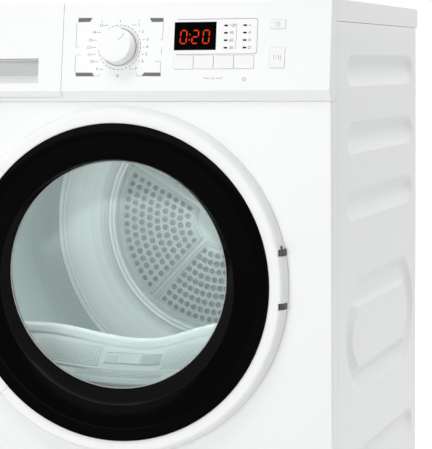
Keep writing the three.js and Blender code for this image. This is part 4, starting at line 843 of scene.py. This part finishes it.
# a thin pale ring that paints the highlight along the window's lip
windowHighlightRing = [(155.3, -12.0), (154.1, -11.4, 0.4), (154.1, -10.6), (155.3, -10.6)]
glassGasket = [(153.9, -10.2), (153.9, -11.2, 0.5), (155.0, -11.9, 0.5), (156.6, -11.4), (156.6, -10.2)]
innerFrame = [(211.7, -3.3), (211.7, -0.8), (205, -0.8, 1), (203, 25, 3), (168, 25, 3), (161.2, -2.2, 1),
              (161.2, -4.7), (173.3, -4.7), (173.3, -3.3)]


def leaning(solid, inner, outer):  # lifts what lies near the window, whose middle is above the door's
    def lift(x, y, z):
        share = (outer - math.hypot(x, z)) / (outer - inner)
        return x, y, z + glass["middle"] * min(1.0, max(0.0, share))
    return moved(solid, lift)


def ringProfile():
    return softened([
        (door["inner"], door["back"], 0.3), (door["outer"] - 0.4, door["back"], 0.3), (door["outer"], -2.5, 1),
        (237.5, -6), (235, -15, 6), (232.0, -19.2, 3.5), (229.4, door["front"], 3),
        (door["inner"], door["front"], 0.7),
    ], 5)


def makeDoor():
    first, last = door["sector"]
    ring = lathe(ringProfile(), sides=192, arc=(last, 360 + first))
    ear, left, right = hinge["ear"] / 2 + 0.35, hinge["x"] - 2.6, hinge["x"] + 20
    notches = joined(*[block((left, right), (-30, 5), (e - ear, e + ear)) for e in hinge["ears"]])
    make("door_outer_ring", ring, "whiteMoulding", "door", ["door_outer_ring"], [notches],
         rim=0.25)
    fingers = lathe(softened([(228, 3), (228, -13, 4), (260, -13), (260, 3)]), sides=96, arc=door["finger"])
    hook = joined(block((-226.5, -218.5), (-2, 14), (-8, 8)), block((-225.5, -219.5), (9, 14), (-8, 11)))
    grip = lathe(ringProfile(), sides=192, arc=(first + 0.08, last - 0.08))
    make("door_handle", grip, "whiteMoulding", "door", ["door_handle"], [fingers], rim=0.25)
    make("door_hook", hook, "whiteMoulding", "door", rim=0.6)
    for name, profile, steps, finish, stands, crease in (
        ("door_black_ring", blackRing, 5, "blackGloss", ["door_black_ring"], 22),
        # the pale ring paints the lip's highlight
        ("window_highlight_ring", windowHighlightRing, 4, "paleMoulding", [], 60),
        ("window_bevel", windowBevel, 4, "bevelBlack", [], 60),
    ):
        solid = leaning(lathe(softened(profile, steps), sides=256), *glass["lean"])
        make(name, solid, finish, "door", stands, crease=crease)
    bowl, thick, middle = list(glass["bowl"]), glass["thick"], (0, glass["middle"])
    inner = softened([bowl[0]] + [(r, y, 30 if r < 150 else 8) for r, y in bowl[1:-1]] + [bowl[-1]], 6)
    outer = [(0, bowl[-1][1] + thick)]
    # the bowl's back, one wall further out
    for before, here, after in list(zip(inner, inner[1:], inner[2:]))[:4:-1]:
        out = Vector((after[1] - before[1], before[0] - after[0])).normalized() * thick
        outer.append((here[0] + out.x, here[1] + out.y))
    behind, wide = glass["front"] + thick, glass["rim"]
    rim = softened([(158, behind, 4), (wide, behind, 1), (wide, glass["front"], 1)])
    make("door_glass", lathe(inner + outer + rim, middle, 192), "doorGlass", "door", ["door_glass"],
         crease=60)
    make("glass_gasket", lathe(softened(glassGasket), middle, 192), "greySeal", "door")
    back = leaning(lathe(softened(innerFrame), sides=192), 168, 203)
    make("door_inner_frame", back, "greyMoulding", "door", ["door_inner_frame"])
    print("door")


# drum
drum = {"opening": 255.0, "wall": 1.2, "end": (257.4, 428.2), "turn": 397, "bend": 90}
lifter = {"wide": 70.0, "high": 52.0, "wall": 1.6, "ends": (22, 18),  # in from the drum's front and back
          "rises": ((0, 0.02), (8, 0.3), (22, 0.72), (40, 0.97), (60, 1))}  # distance in, share of the height
dish = [  # the pressed back's front face, from the shell in to the air plate
    (257.6, 429.0), (256.2, 428.6, 0.6), (250.8, 432.3, 2), (248.4, 430.6, 2), (245.5, 435.6, 2), (228, 447, 30),
    (213, 460, 16), (203.5, 474, 6), (200, 480, 3), (191, 480.6, 1.5), (187.2, 475.6, 2.4), (183.6, 480.6, 1.5),
    (180.2, 476.0, 2.4), (177.2, 482, 1.5), (175.6, 489, 1.5), (173, 490.8),
]
field = {"ribs": (148.5, 226.5, 297.0, 367.5, 438.0, 508.5), "outer": 162.5, "inner": 58.0, "sides": (16.6, 11.5),
         "holes": (15, 14, 13, 12, 11, 9, 8, 7, 5), "hole": 3.95,
         "rib": 6.2, "foot": 172, "head": 44.0, "corner": 8,
         "bead": ((-3.2, 0), (-2.1, 1.4), (-0.7, 2.2), (0.7, 2.2), (2.1, 1.4), (3.2, 0))}


def fieldHoles(low, high, centre):  # one field's holes, in arcs that get shorter towards the hub
    spots = []
    for column, count in enumerate(field["holes"]):
        share = column / (len(field["holes"]) - 1)
        radius = field["outer"] + (field["inner"] - field["outer"]) * share
        inset = field["sides"][0] + (field["sides"][1] - field["sides"][0]) * share
        side = math.degrees(math.asin(inset / radius))
        turns = [low + side + (high - low - 2 * side) * i / (count - 1) for i in range(count)]
        spots += [polar(radius, turn, centre) for turn in turns]
    return spots


def fieldBorder(low, high, centre, face):  # the raised bead round one field
    outline, steps = [], 24
    for radius, outward in ((field["foot"], False), (field["head"], True)):
        side = math.degrees(math.asin(field["rib"] / radius))
        first, last = (high - side, low + side) if outward else (low + side, high - side)
        for i in range(steps + 1):
            corner = (field["corner"],) * (i in (0, steps))
            outline.append(polar(radius, first + (last - first) * i / steps, centre) + corner)
    return sweep([(x, face, z) for x, z in softened(outline, 5)], field["bead"], True)


def makeDrum():
    centre = (0, drumLift)
    y0, radius = drumY[0], drumRadius
    opening, wall, turn, bend = (drum[key] for key in ("opening", "wall", "turn", "bend"))
    endRadius, endY = drum["end"]
    shell = softened([
        (opening, y0 + wall), (opening, y0), (radius - 1, y0 + 0.2, 6), (radius, y0 + 8), (radius, turn, bend),
        (endRadius, endY), (endRadius - 1, endY - 0.6), (radius - wall, turn - 0.6, bend), (radius - wall, y0 + 8),
        (radius - 2, y0 + 1.4, 5),
    ], 9)
    # the shell's base colour holds painted shade towards the back
    make("drum_shell", lathe(shell, centre, 224), "shellSteelDepthShade", "drum", ["drum_shell"])
    behind = [(r, y + 1.0, *more) for r, y, *more in dish][::-1]
    # the drum back carries painted highlight rings in its base colour
    make("drum_back", lathe(softened(dish + behind), centre, 256), "dishSteelRingHighlights", "drum",
         ["drum_back"], crease=60)
    face, rear = span("drum_air_plate")[1]
    holes, beads, borders, edge = [], [], [], field["hole"]
    for low, high in zip(field["ribs"], field["ribs"][1:]):
        for spot in fieldHoles(low, high, centre):
            holes.append(rod("y", spot, edge, face - 3, face + 6, 16))
            beads.append(lathe([(edge - 0.1, face - 0.4), (edge + 0.5, face - 0.9), (edge + 1.5, face + 0.05),
                                (edge - 0.1, face + 0.05)], spot, 16))
        borders.append(fieldBorder(low, high, centre, face))
    plate = lathe([(0, face), (175.6, face), (175.6, rear), (0, rear)], centre, 160)
    make("drum_air_plate", plate, "drumSteel", "drum", ["drum_air_plate"], [joined(*holes)],
         crease=30)
    make("air_plate_beads", joined(*beads, *borders), "drumSteel", "drum", crease=75)
    # a dark disc inside the holes paints the shade behind the air plate
    holeShadeDisc = lathe([(0, face + 1.4), (168, face + 1.4), (168, face + 1.7), (0, face + 1.7)], centre, 96)
    make("air_plate_hole_shade", holeShadeDisc, "meshShade", "drum")
    print("drum")


def makeLifters():
    root, outer, tallest = lifter["wide"] / 2, drumRadius - lifter["wall"], lifter["high"] - lifter["wall"]
    y0, y1 = drumY[0] + lifter["ends"][0], drumY[1] - lifter["ends"][1]
    rises = [(y0 + step, rise) for step, rise in lifter["rises"]]
    rises += [(y1 - step, rise) for step, rise in lifter["rises"][::-1]]
    for index in range(3):
        turn = math.tau * index / 3
        sections = []
        for y, rise in rises:
            tip = outer - tallest * rise
            width = root * (0.82 + 0.18 * rise)
            half = [(9, tip, 8), (18, tip + 5 * rise, 10), (width * 0.93, outer - 4 * rise, 6),
                    (width, outer + 0.4)]
            outline = []
            for u, r in softened([(-u, *rest) for u, *rest in half[::-1]] + half):
                r = min(r, math.sqrt((drumRadius - 1.4) ** 2 - u * u))
                outline.append((r * math.cos(turn) - u * math.sin(turn), y,
                                drumLift + r * math.sin(turn) + u * math.cos(turn)))
            sections.append(outline)
        name = f"lifter_{index + 1}"
        make(name, loft(sections), "paleMoulding", "drum", [name], crease=50)
    print("lifters")


# mouth
sill = {"wide": 188.0, "crest": -106.0, "left": (19.0, 160.0), "right": (28.0, 135.0), "mesh": (88.0, 56.0),
        "foot": -130.0, "lift": 8.0, "nose": 32.2, "round": 207.6}
# the surface, its left and right, its low and high edge, and how far the holes stand out; each hole is a dark tile
# that paints the shade inside it
meshFields = (("mesh", -150, -53, 3, 40, 0.55), ("mesh", 39, 150, 3, 44, 0.55), ("mesh", -46, -26, 12, 26, 0.9),
              ("foot", -84, 44, 2, 13, 0.55))
meshHole = {"half": (1.6, 1.15), "pitch": (4.4, 3.6), "stagger": 2.2, "margin": 4}
latchParts = ((-48, -24, 10, 28, 0.6), (-22, 4, 10.5, 27.5, 1.2), (-49, 36, 28.4, 29.2, 0.4),
              (-49, 36, 8.6, 9.4, 0.4))
# a darker flat tile paints the shade of a recess beside the latch
latchRecessShade = (6, 35, 10, 28, 0.5)


def crestAt(x):  # the crest hangs down in the middle and runs level towards its ends
    rise, reach = sill["left"] if x < 0 else sill["right"]
    return sill["crest"] + rise * (1 - math.cos(math.pi * min(abs(x), reach) / reach)) / 2


def footAt(x):
    return sill["foot"] + sill["lift"] * (x / 120) ** 2


def meshSlope(x):  # from the foot of the mesh to its top
    back, near = sill["mesh"]
    return Vector((back - near, crestAt(x) - footAt(x)))


def onMesh(u, v, depth):  # along the sill, up its mesh face, and behind it
    slope = meshSlope(u)
    spot = Vector((sill["mesh"][1], footAt(u))) + slope * (v / slope.length)
    out = Vector((-slope.y, slope.x)).normalized()
    return u, spot.x - out.x * depth, spot.y - out.y * depth


def onFoot(u, v, depth):  # the slope below the mesh, from its upper edge down
    return u, 52.5 - 0.894 * v + 0.447 * depth, footAt(u) - 4.7 - 0.447 * v - 0.894 * depth


def tile(surface, outline, proud):  # a thin plate on one of the sill's faces
    count = len(outline)
    sides = [(k, (k + 1) % count, (k + 1) % count + count, k + count) for k in range(count)]
    return ([surface(u, v, depth) for depth in (-proud, 0.3) for u, v in outline],
            [tuple(range(count)), tuple(range(count, 2 * count)), *sides])


def plateTile(left, right, low, high, proud):
    return tile(onMesh, [(left, low), (right, low), (right, high), (left, high)], proud)


def meshTiles():
    halfWide, halfTall = meshHole["half"]
    across, up = meshHole["pitch"]
    tiles = []
    for kind, left, right, low, high, proud in meshFields:
        surface = onFoot if kind == "foot" else onMesh
        for row, v in enumerate(spread(low, high, up)):
            for u in spread(left + (row % 2) * meshHole["stagger"], right, across):
                if kind == "foot" or v < meshSlope(u).length - meshHole["margin"]:
                    ring = [(u + halfWide * math.cos(a), v + halfTall * math.sin(a))
                            for a in (math.tau * k / 6 for k in range(6))]
                    tiles.append(tile(surface, ring, proud))
    return tiles


def makeSill():
    back, near = sill["mesh"]
    nose, radius, steps = sill["nose"], sill["round"], 80
    sections = []
    for step in range(steps + 1):
        x = sill["wide"] * (2 * step / steps - 1)
        crest, foot = crestAt(x), footAt(x)
        deep = math.sqrt(radius ** 2 - x * x)
        outline = softened([
            (nose, -deep), (nose, foot - 16, 2), (38, foot - 12, 3), (near - 3, foot - 4.5, 1.5),
            (near - 2.5, foot - 0.5, 1.5), (near, foot, 1), (back - 1, crest - 0.6, 0.8),
            (back - 0.6, crest + 3.0, 2), (back + 4, crest + 11, 8), (back + 12, crest + 15.5, 9),
            (back + 17, crest + 10, 5), (back + 16, crest - 6), (back + 2, crest - 22), (back + 2, -deep + 2),
        ], 4)
        sections.append([(x, max(y, nose), max(z, -deep)) for y, z in outline])
    make("mouth_sill", loft(sections), "sillMoulding", "cabinet", crease=40)
    # dark tiles paint the shade inside the sill's mesh holes
    make("sill_hole_shade", joined(*meshTiles()), "meshGrey", "cabinet", crease=30)
    make("sill_latch", joined(*[plateTile(*part) for part in latchParts]), "sillMoulding", "cabinet",
         bevel=0.2, crease=30)
    # a darker tile paints the recess's shade
    make("latch_recess_shade", plateTile(*latchRecessShade), "meshGrey", "cabinet", bevel=0.2, crease=30)


mouth = {"plate": (31.8, 34.3), "hole": 209, "sides": 192, "well": (-104, 104), "wellDepth": (10.5, 32),
         "ports": (((-285, -88), (258, 360)), ((-262, -62), (None, -274)), ((-104, 104), (-248.5, -170)))}
collar = [(208, 1.5, 0.8), (210.5, 1.5, 0.8), (210.5, 44), (226, 46, 2), (226, 47.2), (208, 47.2, 3)]
doorSeal = [(207, -0.5, 0.8), (211.8, -0.5, 0.6), (211.8, 1.2), (209, 1.2, 1)]


def makeMouth():
    x, _, z = span("front_bulkhead")
    ports = [block(portX, (20, 50), (low or z[0] + 3, top)) for portX, (low, top) in mouth["ports"]]
    hole = rod("y", (0, 0), mouth["hole"], 20, 60, mouth["sides"])
    make("front_bulkhead", block(x, mouth["plate"], z), "paleMoulding", "cabinet",
         ["front_bulkhead"], [hole, *ports])
    make("mouth_collar", lathe(softened(collar), sides=mouth["sides"]), "paleMoulding", "cabinet",
         cuts=[block(mouth["well"], mouth["wellDepth"], (-260, -170))])
    makeSill()
    make("door_seal", lathe(softened(doorSeal), sides=mouth["sides"]), "greySeal", "cabinet",
         ["door_seal"])
    near, far = span("drum_front_seal")[1]
    ring = softened([(257, near), (271, near, 2), (271, far, 2), (259, far, 2)])
    make("drum_front_seal", lathe(ring, (0, drumLift), 160), "felt", "cabinet", ["drum_front_seal"])
    make("lint_filter", block(*span("lint_filter")), "greyMoulding", "cabinet", ["lint_filter"],
         [rod("y", (0, 0), 208, 0, 60, mouth["sides"])], rim=0.6)
    print("mouth")


# lower front, feet and back
footParts = {"pad": [(0, 0), (19.6, 0, 1), (21, 1.4, 1.4), (21, 4.6, 1.6), (17, 7, 2), (0, 7)],
             "nut": (12, 6.5, 12), "thread": (6.0, 5.3), "pitch": 0.75, "turns": 38, "start": 11, "top": 39.8}
backSheet = {"thick": 1.2, "dome": 164, "edge": 188, "screwX": (-282, 0, 282), "screwZ": (-402, -120, 338)}
backSlots = {"columns": ((-170, -60), (-10, 100)), "rows": 5, "low": -340.5, "pitch": 18, "tall": 6}


def makeFlap():
    x, _, z = span("service_flap")
    left, right, lip = x[0] + flap["side"], x[1] - flap["side"], flap["lip"]
    sides = [block(edge, (0, 9), (z[0] + 4, z[1])) for edge in ((left, left + lip), (right - lip, right))]
    top = block((left, right), (0, 9), (z[1] - lip, z[1]))
    middle = (x[0] + x[1]) / 2
    notch = block((middle + flap["notch"][0], middle + flap["notch"][1]), (-1, 6), (z[1] - 14, z[1] + 1))
    make("service_flap", block((left, right), (0, 2.5), z), "whiteMoulding", "flap",
         ["service_flap"], [notch], bevel=0.6, rim=0.3)
    barrel = rod("x", (4, z[0] + 4), 3.8, left, right)
    make("service_flap_rims", joined(*sides, top, barrel), "whiteMoulding", "flap")
    print("service flap")


def makeFoot(name):
    x, y, (floor, _) = span(name)
    centre = (sum(x) / 2, sum(y) / 2)

    def spun(profile, sides=48):  # (radius, height) round the foot's own axis
        points, faces = lathe(profile, centre, sides)
        return [(px, pz, floor + py) for px, py, pz in points], faces

    make(f"{name}_pad", spun(softened(footParts["pad"])), "rubber", f"{name}_body", [name],
         crease=50)
    radius, low, top = footParts["nut"]
    nut = prism([polar(radius, 60 * k, centre) for k in range(6)], "z", floor + low, floor + top)
    make(f"{name}_nut", nut, "zincSheet", f"{name}_body", bevel=0.6)
    start, pitch = footParts["start"], footParts["pitch"]
    threads = [(footParts["thread"][1 - k % 2], start + pitch * k) for k in range(footParts["turns"])]
    make(f"{name}_stem", spun([(0, start), *threads, (0, footParts["top"])], 24), "brightSteel", f"{name}_body",
         crease=70)


def makeBack():
    x, (front, back), z = span("rear_cover")
    sheet, dome, edge = backSheet["thick"], backSheet["dome"], backSheet["edge"]
    raised = softened([
        (0, back), (dome, back, 4), (edge - 2, front + sheet, 6), (edge, front + sheet), (edge, front),
        (edge - 1, front), (dome + 1, back - sheet, 4), (0, back - sheet),
    ])
    slots = []
    for left, right in backSlots["columns"]:
        for row in range(backSlots["rows"]):
            low = backSlots["low"] + backSlots["pitch"] * row
            top = low + backSlots["tall"]
            outline = softened([(left, low, 2.9), (right, low, 2.9), (right, top, 2.9), (left, top, 2.9)])
            slots.append(prism(outline, "y", 570, 580))
    gx, (glandFront, glandBack), gz = span("cord_inlet_gland")
    gland = (sum(gx) / 2, sum(gz) / 2)
    make("rear_cover", block(x, (front, front + sheet), z), "zincSheet", "cabinet", ["rear_cover"], [
        rod("y", (0, drumLift), 186.5, 560, 600, 128), joined(*slots), rod("y", gland, 12.4, 560, 600, 48)])
    make("rear_dome", lathe(raised, (0, drumLift), 160), "zincSheet", "cabinet")
    sleeve = softened([
        (5, glandFront), (11.5, glandFront), (11.5, front - 1), (15, front + 1.4, 0.6), (15, front + 4, 1.5),
        (11, glandBack, 1.5), (5, glandBack, 0.5),
    ])
    make("cord_inlet_gland", lathe(sleeve, gland, 48), "greyMoulding", "cabinet",
         ["cord_inlet_gland"])
    head = softened([(0, front + 3.0), (2.6, front + 2.9, 1), (3.6, front + 1.5, 0.6), (3.6, front + 0.8),
                     (0, front + 0.8)])
    screws = [lathe(head, (sx, sz), 20) for sx in backSheet["screwX"] for sz in backSheet["screwZ"]]
    make("rear_screws", joined(*screws), "brightSteel", "cabinet", crease=50)
    print("back")


# what stays as the frame has it
nodeFinishes = {
    "base_plate": "zincSheet", "rear_bulkhead": "zincSheet", "rear_bearing": "brightSteel",
    "air_duct": "greyMoulding", "heater": "zincSheet", "drum_shaft": "brightSteel", "drive_belt": "rubber",
    "motor_body": "zincSheet", "motor_shaft": "brightSteel", "process_fan": "greyMoulding",
    "fan_housing": "greyMoulding", "cooling_fan": "greyMoulding", "idler_wheel": "greyMoulding",
    "heat_exchanger": "finMetal", "drain_pump": "greyMoulding", "water_tank": "paleMoulding",
    "drawer_housing": "greyMoulding", "control_board": "circuit", "drum_roller_left": "rubber",
    "drum_roller_right": "rubber", "drum_lamp": "lampLens", "door_lock": "greyMoulding",
    # the hinge is darkened to paint the shadow in the door ring's notches
    "hinge_bracket": "darkSteel",
}


def dressFrame():
    for name, finish in nodeFinishes.items():
        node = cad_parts[name]
        node.data.materials.clear()
        node.data.materials.append(finishes[finish])
    print("frame pieces dressed")


makeCabinet()
makeFront()
makeFascia()
makeDrawerFront()
makeControls()
makePrint()
makeDigits()
makeDoor()
makeDrum()
makeLifters()
makeMouth()
makeFlap()
for number in range(4):
    makeFoot(f"foot_{number + 1}")
print("feet")
makeBack()
dressFrame()


# light, floor and camera
studio = {
    "floorReach": 6.0, "floorDrop": 0.0004, "floorTones": ((0.72, 0.72, 0.725), (0.74, 0.74, 0.745)),
    "floorLift": 0.53,  # light that is added where the floor is seen
    "air": (0.99, 0.995, 1.0), "around": 0.28, "rightHand": 0.11, "above": 0.72,  # strengths of the sky
}
lights = {  # where it hangs, what it faces, its sides in metres, its power, and whether gloss shows it
    "key": ((-0.7, -4.0, 1.15), (0, 0, 0.25), (2.4, 1.6), 47, True),
    "top": ((-0.8, -2.8, 4.6), (0, -0.1, 0.5), (1.6, 1.6), 54, False),
    "side": ((1.9, 0.8, 3.9), (0.3, 0.1, 0.4), (0.8, 0.8), 56, True),
    "drum": (at(0, 70, 110), at(0, 400, -10), (0.34, 0.16), 1.95, False),
    "sill": (at(-70, 30, 120), at(-60, 92, -95), (0.05, 0.02), 0.065, False),
}
view = {"place": (0.891, -2.77096, 0.7625), "turns": (16.82, -4.65, -0.43), "sensor": 36, "lens": 156.27}


def makeFloor():
    mesh = bpy.data.meshes.new("floor")
    shell = bmesh.new()
    bmesh.ops.create_grid(shell, x_segments=2, y_segments=2, size=studio["floorReach"])
    shell.to_mesh(mesh)
    shell.free()
    floor = addObject("floor", mesh)
    floor.location.z = cadLow.z - studio["floorDrop"]
    kit = Finish("floor")
    colour = kit.tint(kit.noise(0.5, 2.0), *studio["floorTones"])
    sockets = {"Base Color": colour, "Roughness": 0.7, "Specular IOR Level": 0.2}
    matt = kit.node("ShaderNodeBsdfPrincipled", {}, sockets)
    lift = kit.node("ShaderNodeEmission", {}, {"Color": (1, 1, 1, 1), "Strength": studio["floorLift"]})
    both = kit.node("ShaderNodeAddShader", {}, {0: matt, 1: lift})
    floor.data.materials.append(kit.close(kit.node("ShaderNodeMixShader", {}, {0: kit.shown(), 1: matt, 2: both})))


def makeWorld():  # soft light from all round, weaker from the right, and plain white where it is seen
    world = bpy.data.worlds.new("sky")
    bpy.context.scene.world = world
    kit = Finish("sky", world)

    def sky(colour, strength):
        return kit.node("ShaderNodeBackground", {}, {"Color": (*colour, 1), "Strength": strength})

    def mixed(share, first, second):
        return kit.node("ShaderNodeMixShader", {}, {0: share, 1: first, 2: second})

    around, beside, above = (sky(studio["air"], studio[key]) for key in ("around", "rightHand", "above"))
    low = mixed(kit.ramp(kit.along("X", "Generated"), [(0.5, 0.0), (0.9, 1.0)]), around, beside)
    light = mixed(kit.ramp(kit.along("Z", "Generated"), [(0.1, 0.0), (0.9, 1.0)]), low, above)
    kit.close(mixed(kit.shown(), light, sky((1, 1, 1), 1.0)), "ShaderNodeOutputWorld")


def addLamp(name, place, target, size, power, glossy):
    lamp = bpy.data.lights.new(name, "AREA")
    lamp.shape = "RECTANGLE"
    lamp.size, lamp.size_y = size
    lamp.energy = power
    holder = addObject(name, lamp)
    aim = Vector(target) - Vector(place)
    holder.matrix_world = Matrix.Translation(place) @ aim.to_track_quat("-Z", "Y").to_matrix().to_4x4()
    holder.visible_camera = False
    holder.visible_glossy = glossy


def makeCamera():
    yaw, pitch, roll = (math.radians(v) for v in view["turns"])
    forward = Vector((-math.sin(yaw) * math.cos(pitch), math.cos(yaw) * math.cos(pitch), math.sin(pitch)))
    right = Vector((math.cos(yaw), math.sin(yaw), 0))
    up = right.cross(forward)
    right, up = right * math.cos(roll) + up * math.sin(roll), up * math.cos(roll) - right * math.sin(roll)
    lens = bpy.data.cameras.new("camera")
    lens.sensor_width = view["sensor"]
    lens.lens = view["lens"]
    lens.clip_end = 50
    camera = addObject("camera", lens)
    camera.matrix_world = Matrix.Translation(view["place"]) @ Matrix((right, up, -forward)).transposed().to_4x4()
    bpy.context.scene.camera = camera


makeFloor()
makeWorld()
for name, values in lights.items():
    addLamp(name, *values)
makeCamera()
bpy.context.scene.view_settings.view_transform = "Standard"
print("light, floor and camera")
